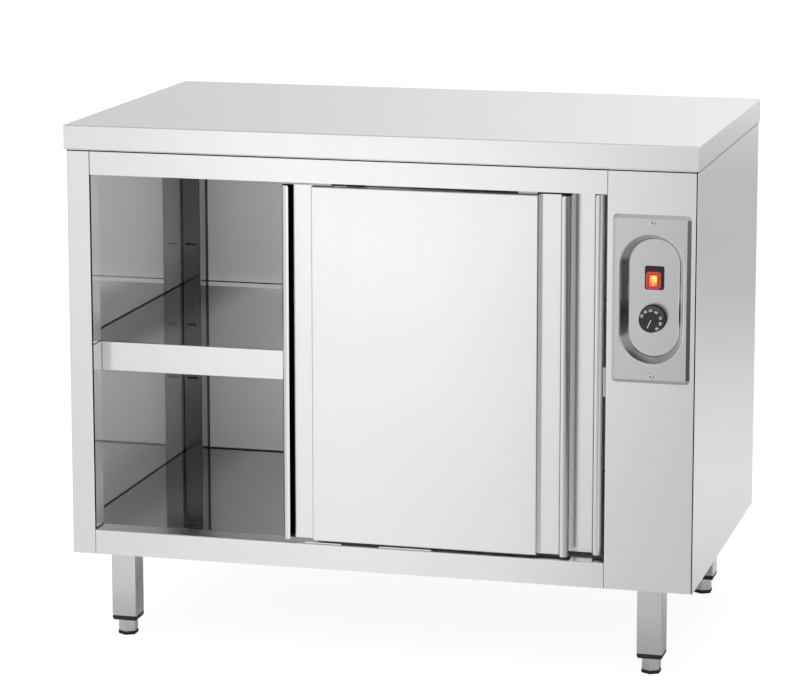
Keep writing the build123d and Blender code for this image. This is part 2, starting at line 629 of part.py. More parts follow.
for place, face_y in DOOR_FACES.items():
    left_x = DOOR_LEFTS[place]
    right_x = left_x + DOOR_WIDTH
    middle = DOOR_SHEET / 2
    back_y = face_y + DOOR_THICKNESS
    lane_y = face_y + DOOR_THICKNESS / 2

    with BuildPart() as door_frame:
        folded_strip(
            level(DOOR_BOTTOM),
            [
                (left_x + DOOR_LIP, face_y + middle),
                (left_x + middle, face_y + middle),
                (left_x + middle, back_y - middle),
                (right_x - middle, back_y - middle),
                (right_x - middle, face_y + middle),
                (right_x - DOOR_LIP, face_y + middle),
            ],
            DOOR_HEIGHT,
            thickness=DOOR_SHEET,
            radius=[LIP_BEND, BACK_BEND, BACK_BEND, LIP_BEND],
        )
        lip_ends = door_frame.edges().filter_by(Axis.Y).filter_by(
            lambda edge: edge.length < 2 * DOOR_SHEET
        )
        fillet(lip_ends, DOOR_LIP_CORNER)
    door_frame.part.label = f"{place}_door_frame"
    export_step(door_frame.part, f"parts/{place}_door_frame.step")

    with BuildPart() as door_panel:
        with BuildSketch(facing_front(back_y - DOOR_SHEET)):
            with Locations(((left_x + right_x) / 2, (DOOR_BOTTOM + DOOR_TOP) / 2)):
                Rectangle(DOOR_WIDTH - 2 * DOOR_STRIP, DOOR_HEIGHT)
        extrude(amount=PANEL_DEPTH)
        fillet(door_panel.faces().sort_by(Axis.Y)[0].edges(), PANEL_FOLD)
        offset(amount=-DOOR_SHEET, openings=door_panel.faces().sort_by(Axis.Y)[-1])
        with BuildSketch(level(DOOR_BOTTOM)):
            with Locations(((left_x + right_x) / 2, lane_y)):
                Rectangle(DOOR_WIDTH - 2 * (DOOR_STRIP + DOOR_SHEET), GUIDE_SLOT)
        extrude(amount=DOOR_SHEET, mode=Mode.SUBTRACT)
    door_panel.part.label = f"{place}_door_panel"
    export_step(door_panel.part, f"parts/{place}_door_panel.step")

    plate_y = face_y + HANGER_SETBACK
    roller_y = plate_y + HANGER_SHEET + TRACK_SIDE_PLAY
    hanger_xs = {"left": left_x + HANGER_CENTRE, "right": right_x - HANGER_CENTRE}
    with BuildPart() as door_hangers:
        for hanger_x in hanger_xs.values():
            folded_strip(
                facing_right(hanger_x - HANGER_WIDTH / 2),
                [
                    (plate_y + HANGER_SHEET / 2, AXLE_Z + AXLE),
                    (plate_y + HANGER_SHEET / 2, DOOR_TOP + HANGER_SHEET / 2),
                    (plate_y + HANGER_FOOT, DOOR_TOP + HANGER_SHEET / 2),
                ],
                HANGER_WIDTH,
                thickness=HANGER_SHEET,
            )
            with BuildSketch(facing_front(roller_y + ROLLER_WIDTH)):
                with Locations((hanger_x, AXLE_Z)):
                    Circle(AXLE / 2)
            extrude(amount=ROLLER_WIDTH + TRACK_SIDE_PLAY + HANGER_SHEET)
    door_hangers.part.label = f"{place}_door_hangers"
    export_step(door_hangers.part, f"parts/{place}_door_hangers.step")

    for side, hanger_x in hanger_xs.items():
        with BuildPart() as roller:
            with BuildSketch(facing_right(hanger_x)):
                with BuildLine():
                    groove_low = (ROLLER_WIDTH - GROOVE_WIDTH) / 2
                    groove_high = (ROLLER_WIDTH + GROOVE_WIDTH) / 2
                    groove_r = AXLE_Z + ROLLER_RADIUS - GROOVE_DEPTH
                    Polyline(
                        (roller_y, AXLE_Z + ROLLER_BORE / 2),
                        (roller_y, AXLE_Z + ROLLER_RADIUS),
                        (roller_y + groove_low - GROOVE_DEPTH / 2, AXLE_Z + ROLLER_RADIUS),
                        (roller_y + groove_low, groove_r),
                        (roller_y + groove_high, groove_r),
                        (roller_y + groove_high + GROOVE_DEPTH / 2, AXLE_Z + ROLLER_RADIUS),
                        (roller_y + ROLLER_WIDTH, AXLE_Z + ROLLER_RADIUS),
                        (roller_y + ROLLER_WIDTH, AXLE_Z + ROLLER_BORE / 2),
                        close=True,
                    )
                make_face()
            revolve(axis=Axis((hanger_x, roller_y, AXLE_Z), (0, 1, 0)))
        roller.part.label = f"{place}_door_{side}_roller"
        export_step(roller.part, f"parts/{place}_door_{side}_roller.step")

# ---------------------------------------------------------------------------------------------
# Double track under the top rail, its rubber stops, and the guide under the doors
# ---------------------------------------------------------------------------------------------
LANE_OFFSET = HANGER_SETBACK + HANGER_SHEET + TRACK_SIDE_PLAY
STOP_FACE = DOOR_RIGHT_STOP + DOOR_WIDTH - HANGER_CENTRE + ROLLER_RADIUS + STOP_PLAY
LEDGE_Z = RIB_TOP - TRACK_RIB_HEIGHT - TRACK_LEDGE_THICKNESS

with BuildPart() as upper_track:
    with BuildSketch(facing_right(OPENING_LEFT)):
        track_front = DOOR_FACES["front"] + LANE_OFFSET
        track_back = CHAMBER_FRONT
        with Locations(((track_front + track_back) / 2, TRACK_Z - TRACK_TOP / 2)):
            Rectangle(track_back - track_front, TRACK_TOP)
        for face_y in DOOR_FACES.values():
            web_y = face_y + LANE_OFFSET + ROLLER_WIDTH + TRACK_SIDE_PLAY
            rib_y = face_y + LANE_OFFSET + ROLLER_WIDTH / 2
            with Locations((web_y, LEDGE_Z)):
                Rectangle(TRACK_WEB, TRACK_Z - LEDGE_Z, align=Align.MIN)
            with Locations((web_y, LEDGE_Z)):
                Rectangle(
                    ROLLER_WIDTH + TRACK_SIDE_PLAY, TRACK_LEDGE_THICKNESS, align=(Align.MAX, Align.MIN)
                )
            with Locations((rib_y, LEDGE_Z + TRACK_LEDGE_THICKNESS + TRACK_RIB_HEIGHT / 2)):
                Rectangle(TRACK_RIB_WIDTH, TRACK_RIB_HEIGHT)
    extrude(amount=OPENING_WIDTH)
upper_track.part.label = "upper_track"
export_step(upper_track.part, "parts/upper_track.step")

with BuildPart() as track_stops:
    for face_y in DOOR_FACES.values():
        for sign in SIDES.values():
            stop_x = STOP_FACE + STOP_LENGTH / 2
            with BuildSketch(level(RIB_TOP)):
                with Locations(
                    (
                        stop_x if sign > 0 else mirrored_x(stop_x),
                        face_y + LANE_OFFSET + ROLLER_WIDTH / 2,
                    )
                ):
                    Rectangle(STOP_LENGTH, ROLLER_WIDTH)
            extrude(amount=TRACK_Z - TRACK_TOP - RIB_TOP)
track_stops.part.label = "track_stops"
export_step(track_stops.part, "parts/track_stops.step")

GUIDE_DEPTH = STILE_DEPTH - 2 * GUIDE_INSET
GUIDE_Y = FRONT + STILE_DEPTH / 2

with BuildPart() as guide_strip:
    with BuildSketch(level(OPENING_BOTTOM)):
        with Locations((OPENING_CENTRE + GUIDE_STRIP_SHIFT, GUIDE_Y)):
            Rectangle(GUIDE_STRIP, GUIDE_DEPTH)
    extrude(amount=GUIDE_STRIP_SHEET)
guide_strip.part.label = "guide_strip"
export_step(guide_strip.part, "parts/guide_strip.step")

BLOCK_HEIGHT = GUIDE_STRIP_SHEET + GUIDE_BLOCK_HEIGHT

with BuildPart() as guide_block:
    with BuildSketch(level(OPENING_BOTTOM)):
        with Locations((OPENING_CENTRE - GUIDE_BLOCK_EDGE, GUIDE_Y)):
            Rectangle(GUIDE_BLOCK, GUIDE_DEPTH + 2 * GUIDE_CHEEK, align=(Align.MIN, Align.CENTER))
    extrude(amount=BLOCK_HEIGHT)
    with BuildSketch(level(OPENING_BOTTOM)):
        with Locations((OPENING_CENTRE - GUIDE_BLOCK_EDGE, GUIDE_Y)):
            Rectangle(GUIDE_BLOCK, GUIDE_DEPTH, align=(Align.MIN, Align.CENTER))
    extrude(amount=GUIDE_STRIP_SHEET, mode=Mode.SUBTRACT)
    with BuildSketch(level(OPENING_BOTTOM + BLOCK_HEIGHT)):
        with Locations(*[(OPENING_CENTRE, y + DOOR_THICKNESS / 2) for y in DOOR_FACES.values()]):
            Circle(GUIDE_PIN / 2)
    extrude(amount=GUIDE_PIN_HEIGHT)
guide_block.part.label = "guide_block"
export_step(guide_block.part, "parts/guide_block.step")

# ---------------------------------------------------------------------------------------------
# Control plate: a bevelled plate pressed with a stadium-shaped dish that carries the controls
# ---------------------------------------------------------------------------------------------


def dish(grow, depth):
    """Adds the tapered stadium of the dish, larger all round by grow, to the given depth."""
    with BuildSketch(facing_front(PLATE_FACE)) as mouth:
        with Locations((DISH_X, PLATE_Z)):
            SlotOverall(DISH_HEIGHT + 2 * grow, DISH_WIDTH + 2 * grow, rotation=90)
    return extrude(mouth.sketch, amount=-depth, taper=DISH_TAPER, mode=Mode.PRIVATE)


PLATE_RIM = SHEET / math.cos(math.radians(PLATE_BEVEL_ANGLE))

with BuildPart() as control_plate:
    with BuildSketch(facing_front(FRONT)):
        with Locations((PLATE_X, PLATE_Z)):
            RectangleRounded(PLATE_WIDTH, PLATE_HEIGHT, PLATE_CORNER)
    extrude(amount=PLATE_PROUD, taper=PLATE_BEVEL_ANGLE)
    with BuildSketch(facing_front(FRONT)):
        with Locations((PLATE_X, PLATE_Z)):
            RectangleRounded(
                PLATE_WIDTH - 2 * PLATE_RIM, PLATE_HEIGHT - 2 * PLATE_RIM, PLATE_CORNER - PLATE_RIM
            )
    extrude(amount=PLATE_PROUD - SHEET, taper=PLATE_BEVEL_ANGLE, mode=Mode.SUBTRACT)
    add(dish(SHEET, DISH_DEPTH + SHEET))
    add(dish(0, DISH_DEPTH), mode=Mode.SUBTRACT)
    rim = control_plate.faces().sort_by(Axis.Y)[0].inner_wires()[0].edges()
    fillet(rim, DISH_RIM)
    dish_floor = control_plate.faces().filter_by(Axis.Y).sort_by(
        lambda found: abs(found.center().Y - DISH_FLOOR)
    )[0]
    fillet(dish_floor.outer_wire().edges(), DISH_FLOOR_RADIUS)
    with BuildSketch(facing_front(DISH_FLOOR)):
        with Locations((SWITCH_X, SWITCH_Z)):
            Rectangle(SWITCH_BODY_WIDTH, SWITCH_BODY_HEIGHT)
        with Locations((KNOB_X, KNOB_Z)):
            Circle(BUSHING / 2)
    extrude(amount=-SHEET, mode=Mode.SUBTRACT)
    with BuildSketch(facing_front(PLATE_FACE)):
        with Locations((DISH_X, PLATE_Z)):
            with GridLocations(0, PLATE_SCREW_PITCH, 1, 2):
                Circle(PLATE_SCREW / 2 + BOLT_PLAY)
    extrude(amount=-PLATE_PROUD, mode=Mode.SUBTRACT)
control_plate.part.label = "control_plate"
export_step(control_plate.part, "parts/control_plate.step")

with BuildPart() as plate_screws:
    with BuildSketch(facing_front(PLATE_FACE)):
        with Locations((DISH_X, PLATE_Z)):
            with GridLocations(0, PLATE_SCREW_PITCH, 1, 2):
                Circle(PLATE_SCREW_HEAD / 2)
    extrude(amount=PLATE_SCREW_HEAD_HEIGHT)
    head_rims = plate_screws.faces().filter_by(Axis.Y).group_by(Axis.Y)[0].edges()
    fillet(head_rims, PLATE_SCREW_HEAD_ROUND)
    with BuildSketch(facing_front(PLATE_FACE)):
        with Locations((DISH_X, PLATE_Z)):
            with GridLocations(0, PLATE_SCREW_PITCH, 1, 2):
                Circle(PLATE_SCREW / 2)
    extrude(amount=-PLATE_SCREW_LENGTH)
plate_screws.part.label = "plate_screws"
export_step(plate_screws.part, "parts/plate_screws.step")

# ---------------------------------------------------------------------------------------------
# Rocker switch
# ---------------------------------------------------------------------------------------------
POCKET_WIDTH = ROCKER_WIDTH + 2 * ROCKER_PLAY
POCKET_HEIGHT = ROCKER_HEIGHT + 2 * ROCKER_END_PLAY
BEZEL_FACE = DISH_FLOOR - BEZEL_THICKNESS
POCKET_DEPTH = BEZEL_THICKNESS + ROCKER_ROOM

with BuildPart() as switch_bezel:
    with BuildSketch(facing_front(DISH_FLOOR)):
        with Locations((SWITCH_X, SWITCH_Z)):
            RectangleRounded(BEZEL_WIDTH, BEZEL_HEIGHT, BEZEL_CORNER)
    extrude(amount=BEZEL_THICKNESS)
    chamfer(switch_bezel.faces().sort_by(Axis.Y)[0].edges(), BEZEL_EDGE)
    with BuildSketch(facing_front(DISH_FLOOR)):
        with Locations((SWITCH_X, SWITCH_Z)):
            Rectangle(SWITCH_BODY_WIDTH, SWITCH_BODY_HEIGHT)
    extrude(amount=-SWITCH_BODY_DEPTH)
    with BuildSketch(facing_front(BEZEL_FACE)):
        with Locations((SWITCH_X, SWITCH_Z)):
            Rectangle(POCKET_WIDTH, POCKET_HEIGHT)
    extrude(amount=-POCKET_DEPTH, mode=Mode.SUBTRACT)
switch_bezel.part.label = "switch_bezel"
export_step(switch_bezel.part, "parts/switch_bezel.step")

with BuildPart() as switch_rocker:
    tilt = math.radians(ROCKER_TILT)
    rocker_plane = Plane(
        (SWITCH_X - ROCKER_WIDTH / 2, DISH_FLOOR, SWITCH_Z),
        x_dir=(0, math.cos(tilt), math.sin(tilt)),
        z_dir=(1, 0, 0),
    )
    with BuildSketch(rocker_plane):
        with BuildLine():
            half = ROCKER_HEIGHT / 2
            FilletPolyline(
                (-ROCKER_SHOULDER, half),
                (-ROCKER_CROWN, 0),
                (-ROCKER_SHOULDER, -half),
                radius=ROCKER_ROUND,
            )
            Polyline(
                (-ROCKER_SHOULDER, -half),
                (ROCKER_FOOT, -half),
                (ROCKER_FOOT, half),
                (-ROCKER_SHOULDER, half),
            )
        make_face()
    extrude(amount=ROCKER_WIDTH)
switch_rocker.part.label = "switch_rocker"
export_step(switch_rocker.part, "parts/switch_rocker.step")

# ---------------------------------------------------------------------------------------------
# Thermostat and its knob
# ---------------------------------------------------------------------------------------------
KNOB_BACK = DISH_FLOOR - KNOB_GAP

with BuildPart() as thermostat_body:
    with BuildSketch(facing_front(DISH_BACK)):
        with Locations((KNOB_X, KNOB_Z)):
            RectangleRounded(THERMOSTAT, THERMOSTAT, THERMOSTAT_CORNER)
    extrude(amount=-THERMOSTAT_DEPTH)
    with BuildSketch(facing_front(DISH_BACK)):
        with Locations((KNOB_X, KNOB_Z)):
            Circle(BUSHING / 2)
    extrude(amount=SHEET)
    with BuildSketch(facing_front(DISH_FLOOR)):
        with Locations((KNOB_X, KNOB_Z)):
            Circle(SHAFT / 2 + SHAFT_PLAY)
    extrude(amount=-SHAFT_SEAT, mode=Mode.SUBTRACT)
thermostat_body.part.label = "thermostat_body"
export_step(thermostat_body.part, "parts/thermostat_body.step")

with BuildPart() as thermostat_shaft:
    with BuildSketch(facing_front(KNOB_BACK - KNOB_BORE)):
        with Locations((KNOB_X, KNOB_Z)):
            Circle(SHAFT / 2)
    extrude(amount=-(KNOB_BORE + SHAFT_SEAT))
thermostat_shaft.part.label = "thermostat_shaft"
export_step(thermostat_shaft.part, "parts/thermostat_shaft.step")

with BuildPart() as knob:
    with BuildSketch(facing_front(KNOB_BACK)):
        with Locations((KNOB_X, KNOB_Z)):
            Circle(KNOB_SKIRT / 2)
    extrude(amount=KNOB_SKIRT_HEIGHT)
    with BuildSketch(facing_front(KNOB_BACK)):
        with Locations((KNOB_X, KNOB_Z)):
            Circle(KNOB_DIAMETER / 2)
    extrude(amount=KNOB_HEIGHT, taper=KNOB_TAPER)
    fillet(knob.faces().sort_by(Axis.Y)[0].edges(), KNOB_EDGE)
    with BuildSketch(facing_front(KNOB_BACK)):
        with Locations((KNOB_X, KNOB_Z)):
            Circle(SHAFT / 2)
    extrude(amount=KNOB_BORE, mode=Mode.SUBTRACT)
knob.part.label = "knob"
export_step(knob.part, "parts/knob.step")

# ---------------------------------------------------------------------------------------------
# Heating: fan, ring heater and housing behind the partition's grille
# ---------------------------------------------------------------------------------------------
HOUSING_X = PARTITION + SHEET
WHEEL_X = HOUSING_X + FAN_HOUSING_DEPTH / 2
MOTOR_X = HOUSING_X + FAN_HOUSING_DEPTH


def fan_disc(x, radius):
    """Returns a disc about the fan's axis on the upright plane at x."""
    with BuildSketch(facing_right(x)) as disc:
        with Locations((FAN_Y, FAN_Z)):
            Circle(radius)
    return disc.sketch


with BuildPart() as fan_housing:
    with BuildSketch(facing_right(HOUSING_X)):
        with Locations((FAN_Y, FAN_Z)):
            Rectangle(FAN_HOUSING, FAN_HOUSING)
    extrude(amount=FAN_HOUSING_DEPTH)
    offset(amount=-FAN_SHEET, openings=fan_housing.faces().sort_by(Axis.X)[0])
    extrude(fan_disc(MOTOR_X - FAN_SHEET, FAN_HUB / 2), amount=FAN_SHEET, mode=Mode.SUBTRACT)
fan_housing.part.label = "fan_housing"
export_step(fan_housing.part, "parts/fan_housing.step")

with BuildPart() as fan_motor:
    with BuildSketch(facing_right(MOTOR_X)):
        with Locations((FAN_Y, FAN_Z)):
            RectangleRounded(MOTOR_SIZE, MOTOR_SIZE, MOTOR_CORNER)
    extrude(amount=MOTOR_DEPTH)
    bearing = fan_disc(MOTOR_X, MOTOR_SHAFT / 2 + SHAFT_PLAY)
    extrude(bearing, amount=MOTOR_BORE, mode=Mode.SUBTRACT)
fan_motor.part.label = "fan_motor"
export_step(fan_motor.part, "parts/fan_motor.step")

with BuildPart() as fan_wheel:
    extrude(fan_disc(WHEEL_X + FAN_WHEEL_WIDTH / 2 - FAN_SHEET, FAN_WHEEL / 2), amount=FAN_SHEET)
    extrude(fan_disc(WHEEL_X - FAN_WHEEL_WIDTH / 2, FAN_HUB / 2), amount=FAN_WHEEL_WIDTH)
    with BuildSketch(facing_right(WHEEL_X - FAN_WHEEL_WIDTH / 2)):
        with Locations((FAN_Y, FAN_Z)):
            with PolarLocations(FAN_BLADE_RADIUS, FAN_BLADES):
                Rectangle(FAN_BLADE, FAN_SHEET, rotation=FAN_BLADE_ANGLE)
    extrude(amount=FAN_WHEEL_WIDTH)
    shaft_start = WHEEL_X + FAN_WHEEL_WIDTH / 2
    shaft_end = MOTOR_X + MOTOR_BORE - MOTOR_SHAFT_GAP
    extrude(fan_disc(shaft_start, MOTOR_SHAFT / 2), amount=shaft_end - shaft_start)
fan_wheel.part.label = "fan_wheel"
export_step(fan_wheel.part, "parts/fan_wheel.step")

with BuildPart() as heating_element:
    with BuildSketch(Plane((WHEEL_X, FAN_Y, FAN_Z + HEATER_RADIUS), x_dir=(1, 0, 0), z_dir=(0, 1, 0))):
        Circle(HEATER_TUBE / 2)
    revolve(axis=Axis((WHEEL_X, FAN_Y, FAN_Z), (1, 0, 0)), revolution_arc=HEATER_ARC)
    for turn in (0, HEATER_ARC):
        angle = math.radians(90 + turn)
        end_y = FAN_Y + HEATER_RADIUS * math.cos(angle)
        end_z = FAN_Z + HEATER_RADIUS * math.sin(angle)
        with BuildSketch(facing_right(WHEEL_X)):
            with Locations((end_y, end_z)):
                Circle(HEATER_TUBE / 2)
        extrude(amount=MOTOR_X - FAN_SHEET - WHEEL_X)
heating_element.part.label = "heating_element"
export_step(heating_element.part, "parts/heating_element.step")

BASE_TOP = BODY_BOTTOM + SHEET

with BuildPart() as terminal_block:
    with BuildSketch(level(BASE_TOP)):
        with Locations((GLAND_X, GLAND_Y - TERMINAL_SETBACK)):
            Rectangle(TERMINAL_WIDTH, TERMINALS * TERMINAL_PITCH)
    extrude(amount=TERMINAL_HEIGHT)
    with BuildSketch(level(BASE_TOP + TERMINAL_HEIGHT)):
        with Locations((GLAND_X, GLAND_Y - TERMINAL_SETBACK)):
            with GridLocations(TERMINAL_WELL_ROWS, TERMINAL_PITCH, 2, TERMINALS):
                Circle(TERMINAL_WELL / 2)
    extrude(amount=-TERMINAL_WELL, mode=Mode.SUBTRACT)
terminal_block.part.label = "terminal_block"
export_step(terminal_block.part, "parts/terminal_block.step")

GLAND_BOTTOM = BODY_BOTTOM - GLAND_HEX_HEIGHT - GLAND_CONE_HEIGHT
GLAND_TOP = BODY_BOTTOM + GLAND_THREAD_LENGTH

with BuildPart() as cable_gland:
    with BuildSketch(level(BODY_BOTTOM)):
        with Locations((GLAND_X, GLAND_Y)):
            RegularPolygon(GLAND_HEX / 2, 6, major_radius=False)
    extrude(amount=-GLAND_HEX_HEIGHT)
    with BuildSketch(level(BODY_BOTTOM - GLAND_HEX_HEIGHT)):
        with Locations((GLAND_X, GLAND_Y)):
            Circle(GLAND_CONE / 2)
    extrude(amount=-GLAND_CONE_HEIGHT, taper=GLAND_CONE_TAPER)
    with BuildSketch(level(BODY_BOTTOM)):
        with Locations((GLAND_X, GLAND_Y)):
            Circle(GLAND_THREAD / 2)
    extrude(amount=GLAND_THREAD_LENGTH)
    with BuildSketch(level(GLAND_BOTTOM)):
        with Locations((GLAND_X, GLAND_Y)):
            Circle(GLAND_BORE / 2)
    extrude(amount=GLAND_TOP - GLAND_BOTTOM, mode=Mode.SUBTRACT)
cable_gland.part.label = "cable_gland"
export_step(cable_gland.part, "parts/cable_gland.step")

with BuildPart() as gland_nut:
    with BuildSketch(level(BASE_TOP)):
        with Locations((GLAND_X, GLAND_Y)):
            RegularPolygon(GLAND_NUT_HEX / 2, 6, major_radius=False)
            Circle(GLAND_THREAD / 2, mode=Mode.SUBTRACT)
    extrude(amount=GLAND_NUT_HEIGHT)
gland_nut.part.label = "gland_nut"
export_step(gland_nut.part, "parts/gland_nut.step")

# ---------------------------------------------------------------------------------------------
# Legs, caps and screw feet
# ---------------------------------------------------------------------------------------------
FOOT_TOP = LEG_BOTTOM - CAP_RIM - CAP_STEP
CAP_RIM_BOTTOM = LEG_BOTTOM - CAP_RIM

for corner, place in LEG_PLACES.items():
    with BuildPart() as leg:
        with BuildSketch(level(LEG_BOTTOM)):
            with Locations(place):
                RectangleRounded(LEG, LEG, LEG_CORNER)
        extrude(amount=BODY_BOTTOM - LEG_BOTTOM)
        with BuildSketch(level(LEG_BOTTOM)):
            with Locations(place):
                RectangleRounded(LEG - 2 * LEG_WALL, LEG - 2 * LEG_WALL, LEG_CORNER - LEG_WALL)
        extrude(amount=BODY_BOTTOM - LEG_BOTTOM - LEG_TOP_PLATE, mode=Mode.SUBTRACT)
        with BuildSketch(level(BODY_BOTTOM)):
            with Locations(place):
                Circle(LEG_BOLT / 2 + STUD_PLAY)
        extrude(amount=-LEG_TOP_PLATE, mode=Mode.SUBTRACT)
    leg.part.label = f"{corner}_leg"
    export_step(leg.part, f"parts/{corner}_leg.step")

    with BuildPart() as foot:
        with BuildSketch(level(FOOT_PAD)):
            with Locations(place):
                RegularPolygon(FOOT_HEX / 2, 6, major_radius=False, rotation=FOOT_TURN)
        extrude(amount=FOOT_TOP - FOOT_PAD)
        with BuildSketch(level(FOOT_TOP)):
            with Locations(place):
                Circle(FOOT_STUD / 2)
        extrude(amount=FOOT_STUD_TOP - FOOT_TOP)
    foot.part.label = f"{corner}_foot"
    export_step(foot.part, f"parts/{corner}_foot.step")

    with BuildPart() as foot_pad:
        with BuildSketch(level(FOOT_PAD)):
            with Locations(place):
                RegularPolygon(
                    FOOT_HEX / 2 + FOOT_PAD_GROW, 6, major_radius=False, rotation=FOOT_TURN
                )
        extrude(amount=-FOOT_PAD)
        chamfer(foot_pad.faces().sort_by(Axis.Z)[0].edges(), FOOT_PAD_EDGE)
    foot_pad.part.label = f"{corner}_foot_pad"
    export_step(foot_pad.part, f"parts/{corner}_foot_pad.step")

with BuildPart() as leg_caps:
    for place in LEG_PLACES.values():
        with BuildSketch(level(CAP_RIM_BOTTOM)):
            with Locations(place):
                RectangleRounded(LEG, LEG, LEG_CORNER)
        extrude(amount=CAP_RIM)
        with BuildSketch(level(FOOT_TOP)):
            with Locations(place):
                RectangleRounded(LEG - 2 * CAP_STEP_INSET, LEG - 2 * CAP_STEP_INSET, LEG_CORNER)
        extrude(amount=CAP_STEP)
        with BuildSketch(level(LEG_BOTTOM)):
            with Locations(place):
                RectangleRounded(LEG - 2 * LEG_WALL, LEG - 2 * LEG_WALL, LEG_CORNER - LEG_WALL)
        extrude(amount=CAP_SPIGOT)
        with BuildSketch(level(FOOT_TOP)):
            with Locations(place):
                Circle(FOOT_STUD / 2 + STUD_PLAY)
        extrude(amount=CAP_STEP + CAP_RIM + CAP_SPIGOT, mode=Mode.SUBTRACT)
leg_caps.part.label = "leg_caps"
export_step(leg_caps.part, "parts/leg_caps.step")

PLATE_TOP = BASE_TOP + LEG_PLATE_SHEET

with BuildPart() as leg_plates:
    with BuildSketch(level(BASE_TOP)):
        with Locations(*LEG_PLACES.values()):
            Rectangle(LEG_PLATE, LEG_PLATE)
            Circle(LEG_BOLT / 2 + BOLT_PLAY, mode=Mode.SUBTRACT)
    extrude(amount=LEG_PLATE_SHEET)
leg_plates.part.label = "leg_plates"
export_step(leg_plates.part, "parts/leg_plates.step")

with BuildPart() as leg_bolts:
    with BuildSketch(level(PLATE_TOP)):
        with Locations(*LEG_PLACES.values()):
            RegularPolygon(LEG_BOLT_HEAD / 2, 6, major_radius=False)
    extrude(amount=LEG_BOLT_HEAD_HEIGHT)
    with BuildSketch(level(PLATE_TOP)):
        with Locations(*LEG_PLACES.values()):
            Circle(LEG_BOLT / 2)
    extrude(amount=-LEG_BOLT_LENGTH)
leg_bolts.part.label = "leg_bolts"
export_step(leg_bolts.part, "parts/leg_bolts.step")
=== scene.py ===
import math

import bmesh
import bpy
from bpy.props import FloatProperty, FloatVectorProperty, PointerProperty
from bpy.types import Operator, Panel, PropertyGroup
from mathutils import Euler, Matrix, Vector


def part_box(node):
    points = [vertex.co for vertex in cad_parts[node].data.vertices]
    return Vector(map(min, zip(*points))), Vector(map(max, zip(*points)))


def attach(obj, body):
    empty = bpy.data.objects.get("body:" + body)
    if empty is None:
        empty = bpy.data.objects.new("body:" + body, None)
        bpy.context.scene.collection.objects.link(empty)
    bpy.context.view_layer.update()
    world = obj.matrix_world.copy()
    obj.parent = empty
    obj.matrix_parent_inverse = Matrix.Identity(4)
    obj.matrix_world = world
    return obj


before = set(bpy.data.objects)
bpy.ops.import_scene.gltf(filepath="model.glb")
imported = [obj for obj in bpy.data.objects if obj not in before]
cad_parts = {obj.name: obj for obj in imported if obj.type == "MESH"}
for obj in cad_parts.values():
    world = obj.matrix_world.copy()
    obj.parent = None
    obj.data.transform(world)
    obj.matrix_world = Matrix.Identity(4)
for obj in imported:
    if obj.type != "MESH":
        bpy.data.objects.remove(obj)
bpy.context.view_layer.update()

bl_info = {
    "name": "Plate Warmer Cabinet",
    "version": (1, 0, 0),
    "blender": (4, 5, 0),
    "location": "View3D > Sidebar > Plate Warmer",
    "description": "Sheet steel finishes, dial and switch of a heated plate cabinet, and its studio",
    "category": "Object",
}

MM = 0.001


# ---------------------------------------------------------------------------------------------
# Shared helpers
# ---------------------------------------------------------------------------------------------
def linear(hex_colour):
    """sRGB hex to a linear RGBA colour."""
    channels = [int(hex_colour[i : i + 2], 16) / 255 for i in (1, 3, 5)]
    return tuple(c / 12.92 if c <= 0.04045 else ((c + 0.055) / 1.055) ** 2.4 for c in channels) + (1.0,)


def lighter(colour, share):
    """A linear colour moved towards white by a share."""
    return tuple(c + (1 - c) * share for c in colour[:3]) + (1.0,)


def add_node(tree, kind, inputs=None, **options):
    """Adds a node by its kind: "Math" is ShaderNodeMath. inputs maps a socket to a value, or to the
    output socket that feeds it, and options are the node's own settings."""
    node = tree.nodes.new("ShaderNode" + kind)
    for name, value in options.items():
        setattr(node, name, value)
    for socket, value in (inputs or {}).items():
        if isinstance(value, bpy.types.NodeSocket):
            tree.links.new(value, node.inputs[socket])
        else:
            node.inputs[socket].default_value = value
    return node


def new_material(name):
    """An empty node material: the material, its tree, its surface shader and object coordinates."""
    material = bpy.data.materials.new(name)
    material.use_nodes = True
    tree = material.node_tree
    tree.nodes.clear()
    shader = add_node(tree, "BsdfPrincipled")
    add_node(tree, "OutputMaterial", {"Surface": shader.outputs[0]})
    place = add_node(tree, "TexCoord")
    return material, tree, shader, place


def feed(tree, node, **sockets):
    """Links outputs to a shader's sockets; underscores in the names stand for spaces."""
    for name, output in sockets.items():
        tree.links.new(output, node.inputs[name.replace("_", " ")])


def finish(material, *names):
    """Puts a material on CAD nodes."""
    for name in names:
        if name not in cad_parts:
            raise RuntimeError(f"no CAD node named {name}")
        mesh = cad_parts[name].data
        if not mesh.materials:
            mesh.materials.append(material)
        for i in range(len(mesh.materials)):
            mesh.materials[i] = material


def add_strip(shape, first, second):
    """Joins two closed outlines with as many points by a strip of faces."""
    for i in range(len(first)):
        j = (i + 1) % len(first)
        shape.faces.new((first[i], first[j], second[j], second[i]))


def add_prism(shape, front, back):
    """A solid between a front and a back outline."""
    shape.faces.new(front)
    shape.faces.new(reversed(back))
    add_strip(shape, back, front)


def new_piece(name, shape, material, body):
    """Turns a bmesh into a piece that rides on a body."""
    bmesh.ops.recalc_face_normals(shape, faces=shape.faces)
    mesh = bpy.data.meshes.new(name)
    shape.to_mesh(mesh)
    shape.free()
    mesh.materials.append(material)
    piece = bpy.data.objects.new(name, mesh)
    bpy.context.scene.collection.objects.link(piece)
    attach(piece, body)


def settings():
    return bpy.context.scene.plate_cabinet


def front_middle(name):
    """Middle of the front face of a CAD node's box."""
    low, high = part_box(name)
    return Vector(((low.x + high.x) / 2, low.y, (low.z + high.z) / 2))


